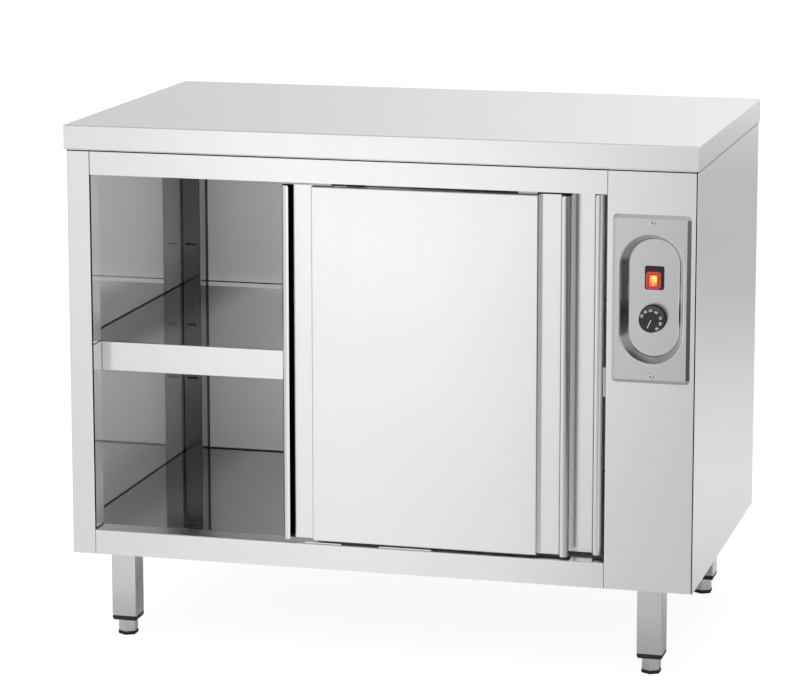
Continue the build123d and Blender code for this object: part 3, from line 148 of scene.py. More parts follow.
# ---------------------------------------------------------------------------------------------
# Patterns
# ---------------------------------------------------------------------------------------------
def grain(tree, place, width_mm, length_mm, along):
    """Long fine streaks along one axis of the sheet, from noise stretched by the ratio of the sizes."""
    scale = [1 / (width_mm * MM)] * 3
    scale["XYZ".index(along)] = 1 / (length_mm * MM)
    stretched = add_node(
        tree, "VectorMath", {0: place.outputs["Object"], 1: scale}, operation="MULTIPLY"
    )
    noise = {"Vector": stretched.outputs[0], "Scale": 1.0, "Detail": 2.0, "Roughness": 0.6}
    return add_node(tree, "TexNoise", noise)


def near_plane(tree, coordinate, plane, outer, inner, **options):
    """A mask around a plane: 1 up to a distance of inner, and 0 from outer on."""
    off = add_node(tree, "Math", {0: coordinate, 1: -plane}, operation="ADD")
    off = add_node(tree, "Math", {0: off.outputs[0]}, operation="ABSOLUTE")
    reach = {"Value": off.outputs[0], "From Min": outer, "From Max": inner}
    return add_node(tree, "MapRange", reach, **options).outputs[0]


def window(tree, axes, half_mm, edge_mm, shift_mm=(0.0, 0.0), **options):
    """An upright rectangle with soft edges, each size given across and up."""
    across_and_up = []
    for axis, half, edge, shift in zip("XZ", half_mm, edge_mm, shift_mm):
        outer, inner = (half + edge) * MM, half * MM
        across_and_up.append(near_plane(tree, axes.outputs[axis], shift * MM, outer, inner, **options))
    return add_node(tree, "Math", dict(enumerate(across_and_up)), operation="MULTIPLY").outputs[0]


def lamp_glow(tree, offset, lamp, reach_mm, far_tone, near_tone):
    """The colour of a lit plastic around the small lamp behind it."""
    away = add_node(tree, "VectorMath", {0: offset, 1: lamp}, operation="DISTANCE")
    near = add_node(
        tree,
        "MapRange",
        {"Value": away.outputs["Value"], "From Min": reach_mm * MM, "From Max": 1 * MM},
    )
    return add_node(
        tree,
        "Mix",
        {"Factor": near.outputs[0], "A": linear(far_tone), "B": linear(near_tone)},
        data_type="RGBA",
    ).outputs["Result"]


def paint_shade_lines(tree, place, colour, joints):
    """Paints shade as thin black lines, one for each axis, plane and half width: painted shade in the narrow
    gaps where sheets meet and along shaded edges.
    """
    if not joints:
        return colour
    axes = add_node(tree, "SeparateXYZ", {0: place.outputs["Object"]})
    for axis, plane, half in joints:
        line = near_plane(tree, axes.outputs[axis], plane, half * 1.2, half * 0.8)
        # painted shade: near black along each line
        colour = add_node(
            tree, "Mix", {"Factor": line, "A": colour, "B": linear("#0c0c0c")}, data_type="RGBA"
        ).outputs["Result"]
    return colour


def paint_left_shade(tree, place, colour, start, end, strength):
    """Paints shade onto a sheet's left end: by strength up to start in X, fading out at end."""
    axes = add_node(tree, "SeparateXYZ", {0: place.outputs["Object"]})
    share = add_node(
        tree,
        "MapRange",
        {"Value": axes.outputs["X"], "From Min": end, "From Max": start, "To Max": strength},
        interpolation_type="SMOOTHSTEP",
    )
    # painted shade: dark grey mixed in towards the left end
    return add_node(
        tree, "Mix", {"Factor": share.outputs[0], "A": colour, "B": linear("#2c2c2c")}, data_type="RGBA"
    ).outputs["Result"]


# ---------------------------------------------------------------------------------------------
# Materials
# ---------------------------------------------------------------------------------------------
def steel_sheet(
    name, along, inner=None, tone=None, inner_tone="#ececec", inner_rough=0.05, film=0.0,
    joints=(), inner_shade_lines=(), inner_left_shade=None,
):
    """Stainless sheet, 430 grade: one face belt-brushed to a fine satin, the other left as cold
    rolled (2B). The satin face gives wide soft reflections, the rolled one is greyer and nearly a
    mirror. inner is the direction that the rolled face looks to, and film is how much of the rolled
    face's light its oxide film scatters. joints and inner_shade_lines are painted shade, drawn as
    dark lines on the outer and the rolled face, and inner_left_shade paints shade on the rolled face's left
    end."""
    material, tree, shader, place = new_material(name)
    outer_tone = linear(tone) if tone else tuple(settings().steel_colour)
    # real belt lines are 0.05 to 0.1 mm apart; drawn at 0.8 mm so that they show close up
    lines = grain(tree, place, 0.8, 90, along)
    # wiping marks, about 250 mm across
    cloud = add_node(
        tree, "TexNoise", {"Vector": place.outputs["Object"], "Scale": 1 / (250 * MM), "Detail": 2.0}
    )
    smooth = add_node(
        tree,
        "MapRange",
        {"Value": lines.outputs[0], "From Min": 0.3, "From Max": 0.7, "To Min": 0.17, "To Max": 0.21},
    )
    wiped = add_node(
        tree,
        "MapRange",
        {"Value": cloud.outputs[0], "From Min": 0.35, "From Max": 0.65, "To Min": -0.01, "To Max": 0.015},
    )
    satin = add_node(tree, "Math", {0: smooth.outputs[0], 1: wiped.outputs[0]}, operation="ADD")
    brushed = add_node(
        tree,
        "Mix",
        {"Factor": lines.outputs[0], "A": outer_tone, "B": lighter(outer_tone, 0.15)},
        data_type="RGBA",
    )
    # painted shade lines on the outer face
    colour = paint_shade_lines(tree, place, brushed.outputs["Result"], joints)
    rough = satin.outputs[0]
    if inner:
        # painted shade on the rolled face: dark lines, and a darker left end
        inner_colour = paint_shade_lines(tree, place, linear(inner_tone), inner_shade_lines)
        if inner_left_shade:
            inner_colour = paint_left_shade(tree, place, inner_colour, *inner_left_shade)
        facing = add_node(
            tree, "VectorMath", {0: place.outputs["Normal"], 1: inner}, operation="DOT_PRODUCT"
        )
        rolled = add_node(
            tree, "Math", {0: facing.outputs["Value"], 1: 0.5}, operation="GREATER_THAN"
        ).outputs[0]
        colour = add_node(
            tree, "Mix", {"Factor": rolled, "A": colour, "B": inner_colour}, data_type="RGBA"
        ).outputs["Result"]
        rough = add_node(
            tree, "Mix", {"Factor": rolled, "A": rough, "B": inner_rough}, data_type="FLOAT"
        ).outputs["Result"]
        bare = add_node(tree, "Math", {0: rolled, 1: -film, 2: 1.0}, operation="MULTIPLY_ADD")
        feed(tree, shader, Metallic=bare.outputs[0])
    else:
        shader.inputs["Metallic"].default_value = 1.0
    bump = add_node(tree, "Bump", {"Height": lines.outputs[0], "Strength": 0.02, "Distance": 0.02 * MM})
    feed(tree, shader, Base_Color=colour, Roughness=rough, Normal=bump.outputs[0])
    return material


def door_sheet(name, frame_node):
    """Brushed stainless of a door, with painted shade inside its two handle folds: near black where
    each narrow bend beside a lip lies in deep shadow."""
    material = steel_sheet(name, "Z", (0, 1, 0))
    tree = material.node_tree
    shader = next(node for node in tree.nodes if node.bl_idname == "ShaderNodeBsdfPrincipled")
    place = add_node(tree, "TexCoord")
    low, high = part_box(frame_node)
    axes = add_node(tree, "SeparateXYZ", {0: place.outputs["Object"]})
    facing = add_node(tree, "SeparateXYZ", {0: place.outputs["Normal"]})
    half = (high.x - low.x) / 2
    offset = add_node(
        tree, "Math", {0: axes.outputs["X"], 1: -(low.x + high.x) / 2}, operation="ADD"
    ).outputs[0]
    off_middle = add_node(tree, "Math", {0: offset}, operation="ABSOLUTE").outputs[0]
    outward = add_node(
        tree, "Math", {0: offset, 1: facing.outputs["X"]}, operation="MULTIPLY"
    ).outputs[0]
    fold_shade_mask = add_node(
        tree,
        "MapRange",
        {"Value": off_middle, "From Min": half - 18.5 * MM, "From Max": half - 15.5 * MM},
        interpolation_type="SMOOTHSTEP",
    ).outputs[0]
    # inside the sheet's outer skin on three sides, and on faces that don't look outwards
    for value, limit, side in (
        (off_middle, half - 0.6 * MM, "LESS_THAN"),
        (axes.outputs["Y"], low.y + 0.6 * MM, "GREATER_THAN"),
        (axes.outputs["Y"], high.y - 0.5 * MM, "LESS_THAN"),
        (outward, 0.01, "LESS_THAN"),
    ):
        within = add_node(tree, "Math", {0: value, 1: limit}, operation=side)
        fold_shade_mask = add_node(tree, "Math", {0: fold_shade_mask, 1: within.outputs[0]}, operation="MULTIPLY").outputs[0]
    open_sheet = shader.inputs["Base Color"].links[0].from_socket
    # painted shade: near black over the open sheet inside the two folds
    shaded = add_node(
        tree, "Mix", {"Factor": fold_shade_mask, "A": open_sheet, "B": linear("#202020")}, data_type="RGBA"
    )
    feed(tree, shader, Base_Color=shaded.outputs["Result"])
    return material


def bright_steel(name, tone, rough=0.05, lit_side_tone=None, left_shade=None):
    """Stainless sheet, bright annealed (BA): a mirror with a faint cloudiness. lit_side_tone, where given,
    is the lighter tone of its faces that look sideways, against a main tone darkened as painted shade, and
    left_shade the start, end and strength of a painted shade on its left end."""
    material, tree, shader, place = new_material(name)
    # clouds about 110 mm across
    cloud = add_node(
        tree, "TexNoise", {"Vector": place.outputs["Object"], "Scale": 1 / (111 * MM), "Detail": 3.0}
    )
    gloss = add_node(
        tree, "MapRange", {"Value": cloud.outputs[0], "To Min": rough * 0.7, "To Max": rough * 1.3}
    )
    colour = add_node(
        tree,
        "Mix",
        {"Factor": cloud.outputs[0], "A": linear(tone), "B": lighter(linear(tone), 0.06)},
        data_type="RGBA",
    ).outputs["Result"]
    # painted shade on the left end
    if left_shade:
        colour = paint_left_shade(tree, place, colour, *left_shade)
    # lit sides: a lighter tone for faces that look sideways, against a main tone painted dark as shade
    if lit_side_tone:
        facing = add_node(tree, "SeparateXYZ", {0: place.outputs["Normal"]})
        sideways = add_node(tree, "Math", {0: facing.outputs["X"]}, operation="ABSOLUTE")
        sideways = add_node(tree, "Math", {0: sideways.outputs[0], 1: 0.7}, operation="GREATER_THAN")
        colour = add_node(
            tree,
            "Mix",
            {"Factor": sideways.outputs[0], "A": colour, "B": linear(lit_side_tone)},
            data_type="RGBA",
        ).outputs["Result"]
    shader.inputs["Metallic"].default_value = 1.0
    feed(tree, shader, Base_Color=colour, Roughness=gloss.outputs[0])
    return material


def rolled_steel(name):
    """Stainless sheet left as cold rolled (2B): an even grey where it is looked at squarely, which
    turns to a mirror at flat angles, as the skin-passed surface does. The coat gives that mirror."""
    material, tree, shader, place = new_material(name)
    tone = linear("#ececec")
    streaks = grain(tree, place, 6, 400, "Y")
    colour = add_node(
        tree,
        "Mix",
        {"Factor": streaks.outputs[0], "A": tone, "B": lighter(tone, 0.04)},
        data_type="RGBA",
    )
    gloss = add_node(tree, "MapRange", {"Value": streaks.outputs[0], "To Min": 0.41, "To Max": 0.43})
    shader.inputs["Metallic"].default_value = 1.0
    shader.inputs["Coat Weight"].default_value = 1.0
    shader.inputs["Coat Roughness"].default_value = 0.03
    shader.inputs["Coat IOR"].default_value = 2.0
    feed(tree, shader, Base_Color=colour.outputs["Result"], Roughness=gloss.outputs[0])
    return material


def fine_texture(tree, shader, place, tones, rough_range, grain_mm, detail, relief):
    """Small-scale change of tone, roughness and height over a whole surface."""
    fine = add_node(
        tree,
        "TexNoise",
        {"Vector": place.outputs["Object"], "Scale": 1 / (grain_mm * MM), "Detail": detail},
    )
    colour = add_node(
        tree, "Mix", {"Factor": fine.outputs[0], "A": tones[0], "B": tones[1]}, data_type="RGBA"
    ).outputs["Result"]
    gloss = add_node(
        tree, "MapRange", {"Value": fine.outputs[0], "To Min": rough_range[0], "To Max": rough_range[1]}
    )
    bump = add_node(
        tree, "Bump", {"Height": fine.outputs[0], "Strength": relief, "Distance": 0.02 * MM}
    )
    feed(tree, shader, Base_Color=colour, Roughness=gloss.outputs[0], Normal=bump.outputs[0])


def plain_metal(name, tone, dark_tone, rough, grain_mm):
    """Turned, cast or drawn metal, a little uneven in tone and gloss."""
    material, tree, shader, place = new_material(name)
    shader.inputs["Metallic"].default_value = 1.0
    tones = (linear(dark_tone), linear(tone))
    fine_texture(tree, shader, place, tones, (rough - 0.05, rough + 0.05), grain_mm, 3.0, 0.2)
    return material


def moulded_plastic(name, tone, rough, grain_mm):
    """Injection-moulded plastic: an even colour with the fine skin of the mould."""
    material, tree, shader, place = new_material(name)
    shader.inputs["IOR"].default_value = 1.5
    tones = (linear(tone), lighter(linear(tone), 0.008))
    fine_texture(tree, shader, place, tones, (rough - 0.04, rough + 0.04), grain_mm, 2.0, 0.15)
    return material


# ---------------------------------------------------------------------------------------------
# Sizes and colours
# ---------------------------------------------------------------------------------------------
class PlateCabinetSettings(PropertyGroup):
    steel_colour: FloatVectorProperty(
        name="Steel colour",
        description="Brushed stainless sheet of the outside",
        default=linear("#eaeaea"),
        size=4,
        subtype="COLOR",
    )
    numeral_height: FloatProperty(
        name="Numeral height",
        description="Height of the numbers on the dial",
        default=3.8 * MM,
        unit="LENGTH",
    )
    numeral_ring: FloatProperty(
        name="Numeral ring",
        description="Distance from the dial's centre to the middle of its numbers",
        default=15.0 * MM,
        unit="LENGTH",
    )
    pointer_length: FloatProperty(
        name="Pointer length",
        description="Length of the dial's pointer line",
        default=12.5 * MM,
        unit="LENGTH",
    )
    pointer_width: FloatProperty(
        name="Pointer width",
        description="Width of the dial's pointer line",
        default=1.3 * MM,
        unit="LENGTH",
    )
    boot_width: FloatProperty(
        name="Boot width",
        description="Width of the soft boot over the switch",
        default=22.6 * MM,
        unit="LENGTH",
    )
    boot_height: FloatProperty(
        name="Boot height",
        description="Height of the soft boot over the switch",
        default=26.0 * MM,
        unit="LENGTH",
    )
    boot_depth: FloatProperty(
        name="Boot depth",
        description="How far the boot stands in front of the bezel",
        default=7.5 * MM,
        unit="LENGTH",
    )
    ink_colour: FloatVectorProperty(
        name="Ink colour",
        description="Printed numbers and pointer",
        default=linear("#e8e8e4"),
        size=4,
        subtype="COLOR",
    )


# ---------------------------------------------------------------------------------------------
# Pieces
# ---------------------------------------------------------------------------------------------
class PLATECABINET_OT_worktop(Operator):
    """Finishes the worktop and the board inside it"""

    bl_idname = "plate_cabinet.worktop"
    bl_label = "Worktop"

    def execute(self, context):
        finish(steel_sheet("brushed_stainless_worktop", "X", (0, 0, -1)), "worktop")
        # chipboard with a paper face: flakes 3 to 6 mm long in a tan resin
        material, tree, shader, place = new_material("chipboard")
        flakes = add_node(
            tree, "TexVoronoi", {"Vector": place.outputs["Object"], "Scale": 1 / (4 * MM)}
        )
        tan = add_node(
            tree,
            "Mix",
            {"Factor": flakes.outputs["Distance"], "A": linear("#c9ae86"), "B": linear("#8d7350")},
            data_type="RGBA",
        )
        shader.inputs["Roughness"].default_value = 0.85
        feed(tree, shader, Base_Color=tan.outputs["Result"])
        finish(material, "worktop_core")
        return {"FINISHED"}


class PLATECABINET_OT_outer_panels(Operator):
    """Finishes the side, back and base panels and the two front rails"""

    bl_idname = "plate_cabinet.outer_panels"
    bl_label = "Outer panels"

    def execute(self, context):
        low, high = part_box("left_side_panel")
        post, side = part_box("rear_left_post")[1].x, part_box("right_side_panel")[1].x
        joint_shade_half = 1.1 * MM  # half the width of the painted shade lines along the shelf, the floor and the post
        joint_shade = [("Z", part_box(name)[1].z + 1.0 * MM, joint_shade_half) for name in ("shelf", "cabinet_floor")]
        # painted shadow under the apron's edge, and painted shade at the jamb's front edge and along the
        # column's corner
        under_top = [("Z", high.z - 2.2 * MM, 0.9 * MM)]
        jamb = [("Y", low.y + 2.2 * MM, 2.0 * MM)]
        column_corner = [("X", side - 1.6 * MM, 0.7 * MM)]
        left = steel_sheet(
            "brushed_stainless_left_side", "Z", (1, 0, 0), inner_tone="#f6f6f6", film=0.22,
            joints=under_top, inner_shade_lines=joint_shade + jamb,
        )
        finish(left, "left_side_panel")
        right = steel_sheet(
            "brushed_stainless_right_side", "Z", (-1, 0, 0), joints=under_top + column_corner
        )
        finish(right, "right_side_panel")
        back = steel_sheet(
            "brushed_stainless_back", "X", (0, -1, 0), inner_tone="#e2e2e2", inner_rough=0.35, film=0.97,
            joints=under_top, inner_shade_lines=joint_shade + [("X", post + 1.2 * MM, joint_shade_half)],
        )
        finish(back, "back_panel")
        rail = steel_sheet("brushed_stainless_rail", "X", (0, 1, 0), joints=under_top)
        finish(rail, "top_rail", "bottom_rail")
        # hot-dip galvanised sheet: zinc spangle 8 mm across
        material, tree, shader, place = new_material("galvanised_sheet")
        spangle = add_node(
            tree, "TexVoronoi", {"Vector": place.outputs["Object"], "Scale": 1 / (8 * MM)}
        ).outputs["Color"]
        zinc = add_node(
            tree,
            "Mix",
            {"Factor": spangle, "A": linear("#b4b8ba"), "B": linear("#d2d5d6")},
            data_type="RGBA",
        )
        gloss = add_node(tree, "MapRange", {"Value": spangle, "To Min": 0.35, "To Max": 0.5})
        shader.inputs["Metallic"].default_value = 1.0
        feed(tree, shader, Base_Color=zinc.outputs["Result"], Roughness=gloss.outputs[0])
        finish(material, "base_panel", "leg_plates", "fan_housing")
        return {"FINISHED"}


class PLATECABINET_OT_chamber(Operator):
    """Finishes the heated chamber, its posts, rails and shelf"""

    bl_idname = "plate_cabinet.chamber"
    bl_label = "Chamber"

    def execute(self, context):
        rolled = rolled_steel("rolled_stainless_chamber")
        finish(rolled, "partition", "left_shelf_rail", "right_shelf_rail")
        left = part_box("shelf")[0].x
        # painted shade on the left end of the floor and the ceiling
        floor = bright_steel(
            "bright_stainless_floor", "#c8c8c8", left_shade=(left + 30 * MM, left + 150 * MM, 0.6)
        )
        finish(floor, "cabinet_floor", "inner_ceiling")
        # painted shade: the post's front drawn dark grey, its sideways faces kept light
        post = bright_steel("bright_stainless_post_painted_shade", "#525252", 0.16, "#c4c4c4")
        finish(post, "rear_left_post", "rear_right_post")
        # painted shade on the left end of the shelf's top
        shelf = steel_sheet(
            "brushed_stainless_shelf", "X", (0, 0, 1), inner_tone="#dedede",
            inner_left_shade=(left + 60 * MM, left + 160 * MM, 0.9),
        )
        finish(shelf, "shelf")
        return {"FINISHED"}


class PLATECABINET_OT_doors(Operator):
    """Finishes the two sliding doors and their hanger plates"""

    bl_idname = "plate_cabinet.doors"
    bl_label = "Sliding doors"

    def execute(self, context):
        for door in ("front", "rear"):
            finish(door_sheet(f"brushed_stainless_{door}_door", f"{door}_door_frame"), f"{door}_door_frame")
        panel = steel_sheet("brushed_stainless_door_panel", "Z", (0, 1, 0))
        finish(panel, "front_door_panel", "rear_door_panel")
        # zinc plate, passivated: pale grey with a dull gloss
        hanger = plain_metal("zinc_plated_hanger", "#c8cacc", "#a8abad", 0.3, 1.5)
        finish(hanger, "front_door_hangers", "rear_door_hangers")
        return {"FINISHED"}


class PLATECABINET_OT_running_gear(Operator):
    """Finishes the door track, rollers, stops and guides"""

    bl_idname = "plate_cabinet.running_gear"
    bl_label = "Running gear"

    def execute(self, context):
        # black anodised aluminium: dark grey, never quite black in the light
        finish(plain_metal("black_anodised_track", "#3c3d3f", "#2c2d2f", 0.4, 0.8), "upper_track")
        # moulded rubber: matt black
        finish(moulded_plastic("black_rubber_stop", "#161616", 0.8, 0.8), "track_stops")
        # moulded nylon, dyed: black with a waxy gloss
        finish(moulded_plastic("black_nylon_guide", "#131313", 0.5, 0.5), "guide_block")
        finish(steel_sheet("brushed_stainless_strip", "X"), "guide_strip")
        # natural nylon: milky white with a waxy gloss
        nylon = moulded_plastic("natural_nylon_roller", "#e3e0d6", 0.4, 0.5)
        for door in ("front", "rear"):
            finish(nylon, f"{door}_door_left_roller", f"{door}_door_right_roller")
        return {"FINISHED"}


class PLATECABINET_OT_control_plate(Operator):
    """Finishes the pressed control plate and its two screws"""

    bl_idname = "plate_cabinet.control_plate"
    bl_label = "Control plate"

    HEAD = 5 * MM  # half the width of a screw head
    REACH, ARM, DEPTH = 2.3 * MM, 0.5 * MM, 0.06 * MM  # of a cross recess: length, half width, relief
    TAPER = 0.92  # size of the recess's front face to its back one

    def execute(self, context):
        finish(steel_sheet("brushed_stainless_plate", "Z", (0, 1, 0), "#cecece"), "control_plate")
        # nickel plate over steel: one sharp highlight on each round head
        finish(plain_metal("nickel_plated_screw", "#e8e8e8", "#dcdcdc", 0.14, 1.0), "plate_screws")
        self.make_recesses()
        return {"FINISHED"}

    def make_recesses(self):
        """Cross recesses of the two pan-head screws, as shallow sockets painted dark for their shade."""
        low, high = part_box("plate_screws")
        arm, reach = self.ARM, self.REACH
        outline = [(arm, arm), (arm, reach), (-arm, reach), (-arm, arm), (-reach, arm), (-reach, -arm)]
        outline += [(-x, -z) for x, z in outline]
        turn = Matrix.Rotation(math.radians(20), 4, "Y")
        sockets = bmesh.new()
        for z in (low.z + self.HEAD, high.z - self.HEAD):
            spot = Vector(((low.x + high.x) / 2, low.y, z))
            front, back = [], []
            for x, up in outline:
                face = Vector((x * self.TAPER, -self.DEPTH, up * self.TAPER))
                front.append(sockets.verts.new(spot + turn @ face))
                back.append(sockets.verts.new(spot + turn @ Vector((x, self.DEPTH, up))))
            add_prism(sockets, front, back)
        # bare punched steel, painted dark for the shade inside each recess
        material = plain_metal("screw_recess_painted_shade", "#3a3a3c", "#222224", 0.4, 0.5)
        new_piece("screw_recesses", sockets, material, "cabinet")


class PLATECABINET_OT_dial(Operator):
    """Finishes the thermostat knob and prints its numbers and pointer"""

    bl_idname = "plate_cabinet.dial"
    bl_label = "Thermostat dial"

    # counterclockwise from the right, in degrees, with the knob at zero
    NUMERALS = (
        ("30", 155.6), ("40", 123.7), ("50", 91.8), ("60", 57.0), ("70", 18.4), ("80", -16.3), ("90", -51.3)
    )
    POINTER_ANGLE = 246.0
    CAP_HEIGHT = 0.7  # of a figure, as a share of the text's size
    STROKE_GAIN = 0.12 * MM  # spread of the ink, which thickens the strokes
    INK = 0.12 * MM  # thickness of the print, half of it in front of the knob's face

    def execute(self, context):
        # moulded phenolic: black with a half gloss that shows its roundings
        finish(moulded_plastic("black_phenolic_knob", "#1e1e1e", 0.32, 0.5), "knob")
        # turned steel: pale, with a satin shine
        finish(plain_metal("turned_steel_shaft", "#c9c9c9", "#b0b0b0", 0.3, 0.6), "thermostat_shaft")
        # moulded polyamide: warm white and nearly matt
        body = moulded_plastic("white_polyamide_body", "#d8d5cc", 0.55, 0.8)
        finish(body, "thermostat_body", "terminal_block")
        size = settings()
        printed = bmesh.new()
        self.print_numerals(printed, size)
        self.print_pointer(printed, size)
        # pad-printed ink: chalky white, slightly uneven
        material, tree, shader, place = new_material("pad_printed_ink")
        patch = add_node(
            tree, "TexNoise", {"Vector": place.outputs["Object"], "Scale": 1 / (0.667 * MM)}
        )
        ink = add_node(
            tree,
            "Mix",
            {"Factor": patch.outputs[0], "A": tuple(size.ink_colour), "B": linear("#d0d0cc")},
            data_type="RGBA",
        )
        shader.inputs["Roughness"].default_value = 0.6
        feed(tree, shader, Base_Color=ink.outputs["Result"])
        new_piece("dial_print", printed, material, "thermostat_knob")
        return {"FINISHED"}

    def print_numerals(self, printed, size):
        """The numbers, each with its foot towards the dial's centre."""
        centre = front_middle("knob")
        upright = Matrix.Rotation(math.pi / 2, 4, "X")
        for text, degrees in self.NUMERALS:
            angle = math.radians(degrees)
            curve = bpy.data.curves.new("dial_text", "FONT")
            curve.body = text
            curve.size = size.numeral_height / self.CAP_HEIGHT
            curve.align_x, curve.align_y = "CENTER", "CENTER"
            curve.extrude = self.INK / 2
            curve.offset = self.STROKE_GAIN
            curve.resolution_u = 3
            holder = bpy.data.objects.new("dial_text", curve)
            mesh = bpy.data.meshes.new_from_object(holder)
            spot = centre + Vector((math.cos(angle), 0, math.sin(angle))) * size.numeral_ring
            mesh.transform(Matrix.Translation(spot) @ Matrix.Rotation(math.pi / 2 - angle, 4, "Y") @ upright)
            printed.from_mesh(mesh)
            bpy.data.objects.remove(holder)
            bpy.data.curves.remove(curve)
            bpy.data.meshes.remove(mesh)

    def print_pointer(self, printed, size):
        """A line with rounded ends from the dial's centre."""
        centre = front_middle("knob")
        angle = math.radians(self.POINTER_ANGLE)
        along = Vector((math.cos(angle), 0, math.sin(angle)))
        across = Vector((-along.z, 0, along.x))
        half = size.pointer_width / 2
        outline = []
        for end, start in ((0.0, math.pi / 2), (size.pointer_length, -math.pi / 2)):
            for step in range(9):
                turn = start + math.pi * step / 8
                outline.append(along * (end + half * math.cos(turn)) + across * (half * math.sin(turn)))
        front = [printed.verts.new(centre + p + Vector((0, -self.INK / 2, 0))) for p in outline]
        back = [printed.verts.new(centre + p + Vector((0, self.INK / 2, 0))) for p in outline]
        add_prism(printed, front, back)


